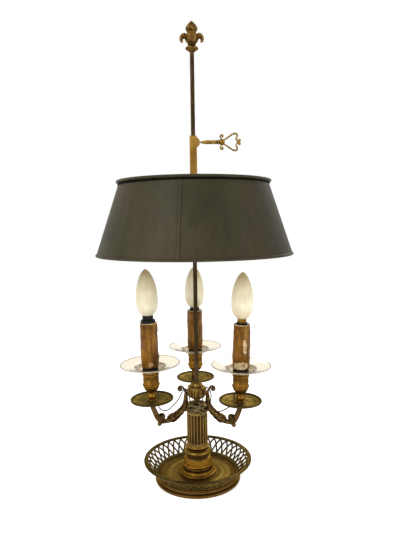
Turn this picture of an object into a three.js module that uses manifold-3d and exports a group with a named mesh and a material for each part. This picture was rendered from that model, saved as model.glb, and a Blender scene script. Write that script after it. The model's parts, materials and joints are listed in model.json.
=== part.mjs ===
// Three-candle bouillotte lamp with a sliding metal shade.
// Millimetres, +Z up, origin on the floor under the middle of the base.
// A pierced gallery stands on a turned plinth. A fluted column rises from it, carries three
// scrolled arms with drip pans, candle cups and bulbs, and is clamped by one long rod. The rod's
// square upper part guides a sleeve that carries the shade and is locked by a key screw.

import * as THREE from 'three';
import { mergeGeometries, mergeVertices } from 'three/addons/utils/BufferGeometryUtils.js';
import Module from 'manifold-3d';

// Clearances and fineness
const SEAT = 0.3;                 // gap left where two pieces rest on each other
const RUNNING = 0.3;              // gap round a piece that slides or passes through a hole
const WELD = 0.001;
const OVERRUN = 3;                // how far a cut runs past the face it opens

// Base plinth
const BASE_RADIUS = 73.5;
const BASE_HEIGHT = 12.5;
const BASE_WALL = 7.5;
const FLOOR_DROP = 1.2;           // the dish floor lies this far below the gallery's seat
const FLOOR_THICKNESS = 3;
const EDGE_TOP_WIDTH = 4.56;      // flat top of the plinth's edge, which the gallery stands on
const HUB_RADIUS = 16;
const HUB_DEPTH = 1.8;
const LEAD_HOLE_RADIUS = 3.5;     // way in for a mains lead, at the back
const LEAD_HOLE_REACH = 10;
const FOOT_LEAD_HOLE_REACH = 8.8;
const BASE_EDGE_SHARES = [
  [0.965, 0], [0.995, 0.1], [0.997, 0.34], [0.955, 0.47], [0.95, 0.56], [0.975, 0.68], [0.96, 1],
];

// Gallery, a pierced strip of interlaced arches that leans outward
const GALLERY_BAYS = 42;
const GALLERY_INSET = 0.76;       // from the plinth's upper edge in to the gallery's foot
const GALLERY_FLARE = 19.2;
const GALLERY_RISE = 21.6;
const GALLERY_THICKNESS = 1.8;
const GALLERY_FOOT_BAND = 2.2;
const GALLERY_HEAD_BAND = 1.2;
const RIB_WIDTH = 2;
const ARCH_POWER = 1.35;          // 1 gives straight legs, 2 a parabola
const CROWN_SHARE = 0.2;          // half width of an arch's flat crown, as a share of a bay
const RIM_OVERHANG = 3.6;         // how far the rim stands out over the gallery's head
const RIM_WIDTH = 7;
const RIM_THICKNESS = 1.8;
const RIM_BEVEL = 0.6;

// Rod, with a round tie at its lower end and a round tenon at its top
const ROD_WIDTH = 7;
const ROD_LENGTH = 547;
const TIE_RADIUS = 3;
const TENON_RADIUS = 2.5;
const TENON_LENGTH = 14;

// Clamping washer and nut under the base
const WASHER_RADIUS = 11;
const WASHER_THICKNESS = 1.2;
const NUT_RADIUS = 6.5;
const NUT_HEIGHT = 3.7;

// Column foot, shaft and collar
const FOOT_RADIUS = 32;
const FOOT_HEIGHT = 50;
const FOOT_WEB = 8;
const FOOT_SHARES = [
  [1, 0], [1, 0.055], [0.87, 0.075], [0.87, 0.14], [0.79, 0.18], [0.77, 0.3], [0.79, 0.33],
  [0.7, 0.55], [0.6, 0.58], [0.6, 0.66], [0.69, 0.72], [0.68, 0.81], [0.575, 0.85],
  [0.575, 0.92], [0.62, 0.94], [0.575, 1],
];
const SHAFT_RADIUS = 17.8;
const SHAFT_HEIGHT = 58;
const SHAFT_BORE = 12.5;
const FLUTES = 20;
const FLUTE_RADIUS = 1.75;
const FLUTE_MARGIN = 3.6;         // plain band above and below the flutes
const COLLAR_RADIUS = 18.8;
const COLLAR_HEIGHT = 12;
const COLLAR_PLATE = 3;
const COLLAR_SIDES = 18;          // a flat faces each arm's lug
const COLLAR_BAND_SHARE = 0.95;
const COLLAR_SHARES = [
  [1, 0], [1, 0.16], [COLLAR_BAND_SHARE, 0.2], [COLLAR_BAND_SHARE, 0.92], [1, 0.94], [0.94, 1],
];
const WIRE_HOLE_RADIUS = 2;
const WIRE_HOLE_REACH = 9.3;
const WIRE_HOLE_DEGREES = [238, 302, 270];
const JUNCTION_HEIGHT = 12;

// Dome nut, leaf vase and rod cap at the head of the column
const DOME_RADIUS = 5.6;
const DOME_HEIGHT = 9;
const DOME_SHARES = [[1, 0], [1, 0.4], [0.9, 0.76], [0.68, 1]];
const VASE_RADIUS = 16.6;
const VASE_HEIGHT = 21.5;
const VASE_PETALS = 6;
const VASE_SHARES = [
  [0.5, 0], [0.8, 0.06], [0.95, 0.25], [1, 0.6], [0.96, 0.84], [0.68, 1],
];
const PETAL_DEPTH_SHARE = 0.09;
const CAP_RADIUS = 10.6;
const CAP_HEIGHT = 7.6;
const CAP_LEDGE = 2.3;            // height of the ledge that the rod's square part stands on
const CAP_SHARES = [[1, 0], [1, 0.2], [0.9, 0.45], [0.66, 0.76], [0.52, 1]];

// Finial
const FINIAL_RADIUS = 10.3;
const FINIAL_HEIGHT = 47;
const FINIAL_SHARES = [
  [0.5, 0], [1, 0.1], [0.94, 0.15], [0.55, 0.235], [0.86, 0.33], [0.84, 0.5], [0.7, 0.62],
  [0.94, 0.76], [0.66, 0.87], [0.35, 0.96], [0, 1],
];
const FINIAL_LOBES = 8;
const LOBE_DEPTH_SHARE = 0.08;
const FINIAL_LEAVES = 4;
const FINIAL_LEAF_REACH = 19.2;
const FINIAL_LEAF_SHARES = [
  [0.36, 0.45], [0.6, 0.56], [0.78, 0.54], [0.87, 0.44], [0.84, 0.35], [0.78, 0.31],
];
const FINIAL_LEAF_GIRTH = 3.2;
const FINIAL_LEAF_GIRTH_SHARES = [
  [0.9, 1.1], [1, 1.5], [1, 1.6], [0.85, 1.5], [0.6, 1.1], [0.3, 0.5],
];

// Arms
const LEFT_ARM_DEGREES = 208.35;
const RIGHT_ARM_DEGREES = 328.35;
const BACK_ARM_DEGREES = 91.3;
const CANDLE_REACH = 83;
const ARM_RISE = 38;              // from the arm's lowest stretch up to its seat under the pan
const LEFT_SEAT_LIFT = 2;         // the cast arms end a little above or below that height
const RIGHT_SEAT_LIFT = -2;
const BACK_SEAT_LIFT = -0.5;
const ARM_GIRTH = 4.6;
const ARM_SHARES = [
  [0.258, 1.16], [0.259, 0.95], [0.262, 0.74], [0.288, 0.55], [0.349, 0.375], [0.464, 0.195],
  [0.602, 0.06], [0.699, 0.005], [0.771, 0.016], [0.837, 0.095], [0.898, 0.276], [0.952, 0.526],
  [0.99, 0.75], [1, 0.96],
];
const ARM_GIRTH_SHARES = [
  [0.42, 0.45], [0.6, 0.5], [0.7, 0.56], [0.85, 0.8], [1.1, 1], [1.35, 1.2], [1.1, 1],
  [0.62, 0.6], [0.54, 0.54], [0.76, 0.76], [0.68, 0.68], [0.74, 0.74], [0.86, 0.86], [0.98, 0.98],
];
const ARM_SEAT_RADIUS = 5.3;
const ARM_SEAT_LENGTH = 3.4;
const VOLUTE_REACH = 31.5;
const VOLUTE_RISE = 13.3;         // height of the scroll's middle over the arm's usual seat
const VOLUTE_RADIUS = 5.2;
const VOLUTE_GIRTH = 1.35;
const VOLUTE_EYE = 1.9;
const VOLUTE_TURN_DEGREES = 430;
const VOLUTE_START_DEGREES = 150;
const VOLUTE_EYE_SHARE = 0.24;    // the spiral's radius at its eye, of its outer radius
const VOLUTE_STEPS = 9;
const BUD_RADIUS = 4.2;
const BUD_SHARES = [0.813, 0.235];
const SPUR_GIRTH = 2.5;
const SPUR_SHARES = [[0.8, 0.05], [0.85, -0.06], [0.885, -0.16]];
const SPUR_GIRTH_SHARES = [[1, 1], [0.8, 0.8], [0.35, 0.35]];
const LEAF_GIRTH = 2.4;
const LEAF_SHARES = [[0.53, 0.12], [0.6, 0.235], [0.66, 0.25], [0.68, 0.18]];
const LEAF_GIRTH_SHARES = [[0.8, 1.2], [0.9, 1.5], [0.7, 1.2], [0.35, 0.5]];
const LUG_RADIUS = 3;
const LUG_ON_COLLAR_SHARE = 0.457;
const LUG_HEIGHT_SHARE = 0.36;    // the same height as a share of the arm's rise
const LUG_REACH_SHARE = 0.38;
const NIPPLE_RADIUS = 3.5;
const NIPPLE_LENGTH = 31;
const ARM_SCREW_RADIUS = 1.3;
const ARM_SCREW_HEAD_RADIUS = 2.4;
const ARM_SCREW_HEAD = 2;
const ARM_SCREW_LENGTH = 13;

// Drip pans
const PAN_RADIUS = 34.4;
const PAN_DEPTH = 5;
const PAN_THICKNESS = 1.6;
const PAN_FLAT_SHARE = 0.72;
const PAN_SLOPE_SHARE = 0.93;
const PAN_SLOPE_RISE_SHARE = 0.42;
const PAN_HOLE_RADIUS = 1.7;
const PAN_HOLE_REACH = 8;         // from the candle's axis towards the column
const PAN_HOLE_ASIDE = 6;

// Candle cups
const CUP_RADIUS = 13.2;
const CUP_HEIGHT = 48;
const CUP_WALL = 1;
const CUP_CAVITY = 21;
const CANDLE_SIDES = 12;          // of the cup and of the holder and sleeve that stand in it
const CUP_SHARES = [
  [0.57, 0], [0.57, 0.04], [0.43, 0.06], [0.52, 0.13], [0.36, 0.25], [0.66, 0.34],
  [0.95, 0.45], [1.05, 0.54], [1.05, 0.585], [0.97, 0.62], [0.97, 0.9], [1.02, 0.92], [1, 1],
];

// Glass drip discs
const GLASS_RADIUS = 48.5;
const BOWL_RADIUS = 23.8;
const BOWL_DEPTH = 6.2;
const GLASS_FLARE = 5.6;          // rise of the flange from the bowl's edge to the rim
const GLASS_THICKNESS = 2.4;

// Lamp holders, candle sleeves and bulbs
const LEFT_HOLDER_END = 11.6;     // how far each holder stands out of its candle sleeve
const RIGHT_HOLDER_END = 3.3;
const BACK_HOLDER_END = 5.3;
const HOLDER_NECK_RADIUS = 8.8;
const HOLDER_NECK = 6.8;
const HOLDER_SHOULDER = 8.5;
const SOCKET_RADIUS = 7.8;
const SOCKET_DEPTH = 26;
const SLEEVE_RADIUS = 14.8;
const SLEEVE_HEIGHT = 68.5;
const SLEEVE_SHARES = [[0.87, 0], [0.98, 0.1], [1, 0.22], [0.95, 0.6], [0.91, 1]];
const BULB_CAP_RADIUS = 7.3;
const BULB_CAP_HEIGHT = 25.7;
const BULB_CAP_SHARES = [[0.5, 0], [1, 0.16], [1, 1]];
const RIGHT_BULB_LIFT = 5.7;      // the right bulb is screwed in less deep than the others
const BULB_RADIUS = 17.6;
const BULB_HEIGHT = 75;
const BULB_SHARES = [
  [0.5, 0], [0.85, 0.11], [1, 0.34], [0.92, 0.6], [0.66, 0.8], [0.3, 0.95], [0, 1],
];
const LEFT_LEAN_DEGREES = 1.8;    // two of the candles lean outward
const RIGHT_LEAN_DEGREES = 1.6;

// What differs from candle to candle
const CANDLES = {
  left: {
    degrees: LEFT_ARM_DEGREES, lean: LEFT_LEAN_DEGREES, lift: LEFT_SEAT_LIFT,
    holderEnd: LEFT_HOLDER_END, bulbLift: 0, holeAside: PAN_HOLE_ASIDE,
  },
  right: {
    degrees: RIGHT_ARM_DEGREES, lean: RIGHT_LEAN_DEGREES, lift: RIGHT_SEAT_LIFT,
    holderEnd: RIGHT_HOLDER_END, bulbLift: RIGHT_BULB_LIFT, holeAside: -PAN_HOLE_ASIDE,
  },
  back: {
    degrees: BACK_ARM_DEGREES, lean: 0, lift: BACK_SEAT_LIFT,
    holderEnd: BACK_HOLDER_END, bulbLift: 0, holeAside: PAN_HOLE_ASIDE,
  },
};

// Shade and its carrier
const SHADE_BOTTOM = 388.6;       // height of the shade's lower rim as photographed
const SHADE_HEIGHT = 120.8;
const SHADE_FOOT_RADIUS = 161;
const SHADE_HEAD_RADIUS = 123.2;
const SHADE_WALL = 1;
const BEAD_RADIUS = 1.5;
const BEAD_SIDES = 4;
const SHADE_SIDES = 32;           // of the shade and of the ring that fits inside it
const GUIDE_WIDTH = 11.4;
const GUIDE_LENGTH = 88;
const GUIDE_ABOVE = 72.1;         // how far the guide sleeve stands above the shade's upper rim
const GUIDE_SHOULDER_WIDTH = 15.5;
const GUIDE_SHOULDER = 2.5;
const SPIDER_ARMS = 3;
const SPIDER_START_DEGREES = 268.35;
const SPIDER_ARM_WIDTH = 7;
const SPIDER_THICKNESS = 2.4;
const SPIDER_RING_WIDTH = 3.4;
const SPIDER_HUB_RADIUS = 11.5;

// Locking key
const KEY_DROP = 10.2;            // from the guide sleeve's top down to the key's axis
const BOSS_LENGTH = 4.8;
const BOSS_ROOT = [5.2, 8];
const BOSS_TIP = [3.4, 3.6];
const KEY_SCREW_RADIUS = 1.9;
const KEY_STEM_LENGTH = 32;
const KEY_STEM_RADIUS = 2.7;
const KEY_STEM_SHARES = [[0.4, 0], [0.4, 0.07], [0.8, 0.2], [1, 0.45], [1, 1]];
const KEY_COLLAR_LENGTH = 8;
const KEY_COLLAR_RADIUS = 4.6;
const KEY_COLLAR_SHARES = [[0.59, 0], [1, 0.2], [1, 0.8]];
const KEY_BOW_LENGTH = 22;
const KEY_BOW_HALF_HEIGHT = 13.6;
const KEY_WIRE_RADIUS = 1.25;
const KEY_BOW_SHARES = [
  [-0.1, 0.2], [0.08, 0.33], [0.42, 0.74], [0.64, 0.95], [0.82, 1], [0.93, 0.88], [0.93, 0.66],
  [0.87, 0.42], [0.91, 0.22], [1, 0.06],
];
const KEY_CURL_SHARES = [[0.5, 0.7], [0.28, 1.3], [0.14, 1.9], [0.3, 2.42], [0.62, 2.4]];
const KEY_HEART_SHARE = 0.9;
const KEY_CURL_EYE = 1.6;
const KEY_LOBE_RADIUS = 2.5;

// Feeder wires, each from under a candle cup, over the arm's scroll and into the column
const WIRE_RADIUS = 0.95;
const WIRE_SIDES = 8;
const WIRE_STEP = 5.6;

const solids = await Module();
solids.setup();

// Turns a table of [radius share, height share] into real [radius, height] points.
function scaled(shares, radius, bottom, height) {
  return shares.map(([r, z]) => [r * radius, bottom + z * height]);
}

// Gives a closed geometry that faces outward, whatever way round it was built.
function outward(geometry) {
  const bare = new THREE.BufferGeometry();
  bare.setAttribute('position', geometry.getAttribute('position').clone());
  if (geometry.index) bare.setIndex(geometry.index);
  const merged = mergeVertices(bare, WELD);
  const place = merged.getAttribute('position');
  const index = merged.index.array;
  const corners = [new THREE.Vector3(), new THREE.Vector3(), new THREE.Vector3()];
  const kept = [];
  let volume = 0;
  for (let i = 0; i < index.length; i += 3) {
    const [a, b, c] = [index[i], index[i + 1], index[i + 2]];
    if (a === b || b === c || c === a) continue;
    corners.forEach((corner, k) => corner.fromBufferAttribute(place, index[i + k]));
    volume += corners[0].dot(corners[1].clone().cross(corners[2]));
    kept.push([a, b, c]);
  }
  const faces = volume < 0 ? kept.map(([a, b, c]) => [a, c, b]) : kept;
  merged.setIndex(faces.flat());
  return merged;
}

function solidOf(geometry) {
  const ready = outward(geometry);
  return new solids.Manifold(new solids.Mesh({
    numProp: 3,
    vertProperties: new Float32Array(ready.getAttribute('position').array),
    triVerts: new Uint32Array(ready.index.array),
  }));
}

function geometryOf(solid) {
  const mesh = solid.getMesh();
  const geometry = new THREE.BufferGeometry();
  geometry.setAttribute('position', new THREE.BufferAttribute(mesh.vertProperties, 3));
  geometry.setIndex(new THREE.BufferAttribute(mesh.triVerts, 1));
  return geometry;
}

function joined(...geometries) {
  return geometryOf(geometries.map(solidOf).reduce((sum, next) => sum.add(next)));
}

function cut(geometry, ...cutters) {
  const whole = solidOf(geometry);
  return geometryOf(cutters.map(solidOf).reduce((rest, next) => rest.subtract(next), whole));
}

// Revolves [radius, height] points about the Z axis.
function turned(points, sides) {
  const outline = points.map(([r, z]) => new THREE.Vector2(r, z));
  return new THREE.LatheGeometry(outline, sides).rotateX(Math.PI / 2);
}

// Revolves an outer outline and closes it down a straight bore.
function boredTurning(points, bore, sides) {
  const bottom = points[0][1];
  const top = points[points.length - 1][1];
  return turned([[bore, bottom], ...points, [bore, top], [bore, bottom]], sides);
}

function cylinder(radius, bottom, top, sides) {
  const body = new THREE.CylinderGeometry(radius, radius, top - bottom, sides);
  return body.rotateX(Math.PI / 2).translate(0, 0, (top + bottom) / 2);
}

// A cylinder along X between two places.
function crossCylinder(radius, near, far, sides) {
  const body = new THREE.CylinderGeometry(radius, radius, far - near, sides);
  return body.rotateZ(Math.PI / 2).translate((near + far) / 2, 0, 0);
}

function block(width, depth, bottom, top) {
  return new THREE.BoxGeometry(width, depth, top - bottom).translate(0, 0, (top + bottom) / 2);
}

function meshOf(places, faces) {
  const geometry = new THREE.BufferGeometry();
  geometry.setAttribute('position', new THREE.Float32BufferAttribute(places, 3));
  geometry.setIndex(faces);
  return geometry;
}

// Joins rings of equal point counts into one closed skin with flat fans at both ends.
function lofted(rings) {
  const count = rings[0].length;
  const middle = (ring) => ring.reduce((sum, p) => sum.add(p), new THREE.Vector3())
    .divideScalar(count);
  const points = [...rings.flat(), middle(rings[0]), middle(rings[rings.length - 1])];
  const last = (rings.length - 1) * count;
  const faces = [];
  for (let k = 0; k < count; k += 1) {
    const next = (k + 1) % count;
    for (let ring = 0; ring < last; ring += count) {
      faces.push(ring + k, ring + next, ring + count + next);
      faces.push(ring + k, ring + count + next, ring + count + k);
    }
    faces.push(points.length - 2, next, k);
    faces.push(points.length - 1, last + k, last + next);
  }
  return meshOf(points.flatMap((p) => [p.x, p.y, p.z]), faces);
}

// Sweeps an oval section along a smooth curve that lies in the XZ plane. The path holds [x, z]
// points and the girths hold [half size in the plane, half size across it] at each of them.
function swept(path, girths, steps, sides) {
  const curve = new THREE.CatmullRomCurve3(path.map(([x, z]) => new THREE.Vector3(x, 0, z)));
  const across = new THREE.Vector3(0, 1, 0);
  const rings = [];
  for (let i = 0; i <= steps; i += 1) {
    const t = i / steps;
    const at = t * (girths.length - 1);
    const low = Math.min(Math.floor(at), girths.length - 2);
    const [inPlane, aside] = girths[low].map(
      (value, k) => THREE.MathUtils.lerp(value, girths[low + 1][k], at - low));
    const centre = curve.getPoint(t);
    const normal = across.clone().cross(curve.getTangent(t)).normalize();
    rings.push(Array.from({ length: sides }, (_, k) => {
      const angle = (k / sides) * 2 * Math.PI;
      return centre.clone().addScaledVector(normal, inPlane * Math.cos(angle))
        .addScaledVector(across, aside * Math.sin(angle));
    }));
  }
  return lofted(rings);
}

function girthsOf(shares, girth) {
  return shares.map(([inPlane, aside]) => [inPlane * girth, aside * girth]);
}

// A turned form whose radius swells into lobes round its middle height.
function lobed(points, lobes, depthShare, sides) {
  const rings = points.map(([radius, height], i) => {
    const fade = i === 0 || i === points.length - 1 ? 0 : 1;
    return Array.from({ length: sides }, (_, k) => {
      const angle = (k / sides) * 2 * Math.PI;
      const swell = 1 - fade * depthShare * (1 - Math.abs(Math.cos((angle * lobes) / 2)));
      const r = radius * swell;
      return new THREE.Vector3(r * Math.cos(angle), r * Math.sin(angle), height);
    });
  });
  return lofted(rings);
}

// Radii of the plinth's upper edge and of the gallery that stands on it
const edgeTopRadius = BASE_EDGE_SHARES[BASE_EDGE_SHARES.length - 1][0] * BASE_RADIUS;
const floorRadius = edgeTopRadius - EDGE_TOP_WIDTH;
const galleryFoot = edgeTopRadius - GALLERY_INSET;
const rimRadius = galleryFoot + GALLERY_FLARE + RIM_OVERHANG;

// Heights of the stack that the rod clamps together
const floorTop = BASE_HEIGHT - FLOOR_DROP;
const floorUnder = floorTop - FLOOR_THICKNESS;
const hubUnder = floorUnder - HUB_DEPTH;
const washerUnder = hubUnder - SEAT - WASHER_THICKNESS;
const nutUnder = washerUnder - SEAT - NUT_HEIGHT;
const footBottom = floorTop + SEAT;
const shaftBottom = footBottom + FOOT_HEIGHT + SEAT;
const shaftTop = shaftBottom + SHAFT_HEIGHT;
const collarBottom = shaftTop + SEAT;
const collarTop = collarBottom + COLLAR_HEIGHT;
const domeBottom = collarTop + SEAT;
const vaseBottom = domeBottom + DOME_HEIGHT + SEAT;
const capBottom = vaseBottom + VASE_HEIGHT + SEAT;
const rodShoulder = capBottom + CAP_LEDGE + SEAT;
const rodTop = rodShoulder + ROD_LENGTH;
const tieHole = TIE_RADIUS + RUNNING;

// Heights of one candle over its arm's seat, from the drip pan up
const panBottom = SEAT;
const cupBottom = panBottom + PAN_THICKNESS + SEAT;
const cupTop = cupBottom + CUP_HEIGHT;
const cavityRadius = CUP_RADIUS - CUP_WALL;
const cavityFloor = cupTop - CUP_CAVITY;
const glassBottom = cupTop + SEAT;
const holderBottom = cavityFloor + SEAT;
const holderRadius = cavityRadius - RUNNING;
const shoulderBottom = glassBottom + GLASS_THICKNESS + SEAT;
const shoulderTop = shoulderBottom + HOLDER_SHOULDER;
const sleeveBottom = shoulderTop + SEAT;
const sleeveTop = sleeveBottom + SLEEVE_HEIGHT;
const nippleHole = NIPPLE_RADIUS + RUNNING;

// Where the arms' lugs and screws meet the collar, and the height of the arms' usual seat
const lugHeight = collarBottom + LUG_ON_COLLAR_SHARE * COLLAR_HEIGHT;
const armLow = lugHeight - LUG_HEIGHT_SHARE * ARM_RISE;
const armSeat = armLow + ARM_RISE;
const collarApothemShare = Math.cos(Math.PI / COLLAR_SIDES);
const lugFace = COLLAR_RADIUS * COLLAR_BAND_SHARE * collarApothemShare + SEAT;
const screwSeat = SHAFT_BORE * collarApothemShare - SEAT;
const screwEnd = screwSeat + ARM_SCREW_LENGTH;
const junctionTop = lugHeight - ARM_SCREW_HEAD_RADIUS - SEAT;

// Places of the shade and its carrier
const shadeTop = SHADE_BOTTOM + SHADE_HEIGHT;
const guideTop = shadeTop + GUIDE_ABOVE;
const guideBottom = guideTop - GUIDE_LENGTH;
const keyHeight = guideTop - KEY_DROP;
const spiderTop = shadeTop - 2 * BEAD_RADIUS - SEAT;
const spiderBottom = spiderTop - SPIDER_THICKNESS;
const guideHole = ROD_WIDTH + 2 * RUNNING;

// The dished plinth: a moulded edge, a flat floor and a hub for the clamping nut
function basePlinth() {
  const inside = BASE_EDGE_SHARES[0][0] * BASE_RADIUS - BASE_WALL;
  const body = turned([
    [tieHole, hubUnder], [HUB_RADIUS, hubUnder], [HUB_RADIUS, floorUnder], [inside, floorUnder],
    [inside, 0], ...scaled(BASE_EDGE_SHARES, BASE_RADIUS, 0, BASE_HEIGHT),
    [floorRadius, BASE_HEIGHT], [floorRadius - FLOOR_DROP, floorTop], [tieHole, floorTop],
    [tieHole, hubUnder],
  ], 28);
  const floorHole = cylinder(LEAD_HOLE_RADIUS, hubUnder - OVERRUN, floorTop + OVERRUN, 12)
    .translate(0, LEAD_HOLE_REACH, 0);
  const wallNotch = block(2 * LEAD_HOLE_RADIUS, BASE_WALL + 2 * OVERRUN, -OVERRUN,
    LEAD_HOLE_RADIUS).translate(0, inside + BASE_WALL / 2, 0);
  return cut(body, floorHole, wallNotch);
}

// Moves each edge of a closed outline inward by one distance.
function inset(outline, distance) {
  const count = outline.length;
  const turn = THREE.ShapeUtils.area(outline) > 0 ? 1 : -1;
  const edges = outline.map((point, i) => {
    const along = outline[(i + 1) % count].clone().sub(point).normalize();
    const normal = new THREE.Vector2(-along.y, along.x).multiplyScalar(turn * distance);
    return { start: point.clone().add(normal), along };
  });
  return edges.map((edge, i) => {
    const before = edges[(i + count - 1) % count];
    const gap = edge.start.clone().sub(before.start);
    const step = gap.cross(edge.along) / before.along.cross(edge.along);
    return before.start.clone().addScaledVector(before.along, step);
  });
}

// The openings of one bay, drawn flat: the lancet under the crossing of two arches, the spandrel
// over it, and the half of the kite between two crossings that lies in this bay.
function bayOpenings(pitch, rise) {
  const leg = (share) => 1 - share ** ARCH_POWER;
  const crossing = leg(1 / 2);
  const crown = leg(CROWN_SHARE);
  const corner = 1 / 2 - ((1 - crossing) * (1 / 2 - CROWN_SHARE)) / (crown - crossing);
  const drawn = (outline) => inset(
    outline.map(([s, y]) => new THREE.Vector2(s * pitch, y * rise)), RIB_WIDTH / 2);
  const lancet = drawn([[0, 0], [1, 0], [1 / 2, crossing]]);
  const spandrel = drawn([[1 / 2, crossing], [1 - corner, 1], [corner, 1]]);
  const kite = drawn([
    [1, 0], [3 / 2, crossing], [1 + CROWN_SHARE, crown], [1 - CROWN_SHARE, crown],
    [1 / 2, crossing],
  ]);
  const halfKite = [kite[0], kite[4], kite[3], new THREE.Vector2(pitch, kite[3].y)];
  return { holes: [lancet, spandrel], halfKite };
}

// A conical strip of equal bays, pierced right through by the openings of each bay
function gallery() {
  const bottom = BASE_HEIGHT + SEAT;
  const slant = Math.hypot(GALLERY_FLARE, GALLERY_RISE);
  const bay = (2 * Math.PI) / GALLERY_BAYS;
  const pitch = bay * (galleryFoot + GALLERY_FLARE / 2);
  const lift = new THREE.Vector2(0, GALLERY_FOOT_BAND);
  const { holes, halfKite } = bayOpenings(pitch, slant - GALLERY_FOOT_BAND - GALLERY_HEAD_BAND);
  const rightNotch = halfKite.map((point) => point.clone().add(lift));
  const leftNotch = rightNotch.map((point) => new THREE.Vector2(pitch - point.x, point.y));
  const outline = [
    new THREE.Vector2(0, 0), new THREE.Vector2(pitch, 0), ...rightNotch,
    new THREE.Vector2(pitch, slant), new THREE.Vector2(0, slant), ...leftNotch.reverse(),
  ];
  const openings = holes.map((hole) => hole.map((point) => point.clone().add(lift)).reverse());
  const flat = [outline, ...openings].flat();
  const skin = THREE.ShapeUtils.triangulateShape(outline, openings);
  const onSide = (a, b) => Math.abs(a.x - b.x) < WELD && Math.abs(a.x - pitch / 2) > pitch / 2 - WELD;
  const edges = [];
  let first = 0;
  for (const ring of [outline, ...openings]) {
    ring.forEach((point, i) => {
      const next = (i + 1) % ring.length;
      if (!onSide(point, ring[next])) edges.push([first + i, first + next]);
    });
    first += ring.length;
  }
  const places = [];
  const faces = [];
  for (let k = 0; k < GALLERY_BAYS; k += 1) {
    const outer = places.length;
    const inner = outer + flat.length;
    for (const depth of [0, GALLERY_THICKNESS]) {
      for (const point of flat) {
        const radius = galleryFoot + (point.y / slant) * GALLERY_FLARE - depth;
        const angle = (k + point.x / pitch) * bay;
        places.push([radius * Math.cos(angle), radius * Math.sin(angle),
          bottom + (point.y / slant) * GALLERY_RISE]);
      }
    }
    skin.forEach(([a, b, c]) => {
      faces.push(outer + a, outer + b, outer + c, inner + a, inner + c, inner + b);
    });
    edges.forEach(([a, b]) => {
      faces.push(outer + b, outer + a, inner + a, outer + b, inner + a, inner + b);
    });
  }
  return meshOf(places.flat(), faces);
}

function galleryRim() {
  const bottom = BASE_HEIGHT + GALLERY_RISE + 2 * SEAT;
  const top = bottom + RIM_THICKNESS;
  const inner = rimRadius - RIM_WIDTH;
  return turned([
    [inner, bottom], [rimRadius, bottom], [rimRadius - RIM_BEVEL, top],
    [inner + RIM_BEVEL, top], [inner, bottom],
  ], GALLERY_BAYS);
}

function baseWasher() {
  const top = washerUnder + WASHER_THICKNESS;
  const disc = boredTurning([[WASHER_RADIUS, washerUnder], [WASHER_RADIUS, top]], tieHole, 14);
  const lead = cylinder(LEAD_HOLE_RADIUS, washerUnder - OVERRUN, top + OVERRUN, 10)
    .translate(0, LEAD_HOLE_REACH, 0);
  return cut(disc, lead);
}

function baseNut() {
  const top = nutUnder + NUT_HEIGHT;
  return cut(cylinder(NUT_RADIUS, nutUnder, top, 6),
    cylinder(tieHole, nutUnder - OVERRUN, top + OVERRUN, 12));
}

// The moulded foot of the column, hollow above a web that the tie passes through
function columnFoot() {
  const outer = scaled(FOOT_SHARES, FOOT_RADIUS, footBottom, FOOT_HEIGHT);
  const top = footBottom + FOOT_HEIGHT;
  const web = footBottom + FOOT_WEB;
  const body = turned([
    [tieHole, footBottom], ...outer, [SHAFT_BORE, top], [SHAFT_BORE, web], [tieHole, web],
    [tieHole, footBottom],
  ], 16);
  const lead = cylinder(LEAD_HOLE_RADIUS, footBottom - OVERRUN, web + OVERRUN, 10)
    .translate(0, FOOT_LEAD_HOLE_REACH, 0);
  return cut(body, lead);
}

// The fluted shaft: a tube with round-ended flutes cut all round
function columnShaft() {
  const tube = boredTurning(
    [[SHAFT_RADIUS, shaftBottom], [SHAFT_RADIUS, shaftTop]], SHAFT_BORE, 2 * FLUTES);
  const straight = SHAFT_HEIGHT - 2 * FLUTE_MARGIN - 2 * FLUTE_RADIUS;
  const flute = new THREE.CapsuleGeometry(FLUTE_RADIUS, straight, 1, 6).rotateX(Math.PI / 2)
    .translate(SHAFT_RADIUS, 0, (shaftBottom + shaftTop) / 2);
  const flutes = Array.from({ length: FLUTES }, (_, k) => outward(flute.clone())
    .rotateZ(((k + 0.5) / FLUTES) * 2 * Math.PI));
  return cut(tube, mergeGeometries(flutes));
}

// The ring that closes the column and carries the arms, with holes for wires and arm screws
function columnCollar() {
  const outer = scaled(COLLAR_SHARES, COLLAR_RADIUS, collarBottom, COLLAR_HEIGHT);
  const plateUnder = collarTop - COLLAR_PLATE;
  const body = turned([
    [SHAFT_BORE, collarBottom], ...outer, [tieHole, collarTop], [tieHole, plateUnder],
    [SHAFT_BORE, plateUnder], [SHAFT_BORE, collarBottom],
  ], COLLAR_SIDES);
  const toArm = THREE.MathUtils.degToRad(LEFT_ARM_DEGREES - 270) - Math.PI / COLLAR_SIDES;
  const wireHoles = WIRE_HOLE_DEGREES.map((degrees) => {
    const angle = THREE.MathUtils.degToRad(degrees);
    return cylinder(WIRE_HOLE_RADIUS, plateUnder - OVERRUN, collarTop + OVERRUN, 8).translate(
      WIRE_HOLE_REACH * Math.cos(angle), WIRE_HOLE_REACH * Math.sin(angle), 0);
  });
  const screwHoles = Object.values(CANDLES).map(({ degrees }) => crossCylinder(
    ARM_SCREW_RADIUS + RUNNING, SHAFT_BORE - OVERRUN, COLLAR_RADIUS + OVERRUN, 6)
    .translate(0, 0, lugHeight).rotateZ(THREE.MathUtils.degToRad(degrees)));
  return cut(body.rotateZ(toArm), ...wireHoles, ...screwHoles);
}

// The insulating ring inside the shaft where the feeder wires end
function wireJunction() {
  const radius = screwSeat;
  return boredTurning(
    [[radius, junctionTop - JUNCTION_HEIGHT], [radius, junctionTop]], tieHole, 12);
}

function domeNut() {
  return boredTurning(scaled(DOME_SHARES, DOME_RADIUS, domeBottom, DOME_HEIGHT), tieHole, 14);
}

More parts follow.
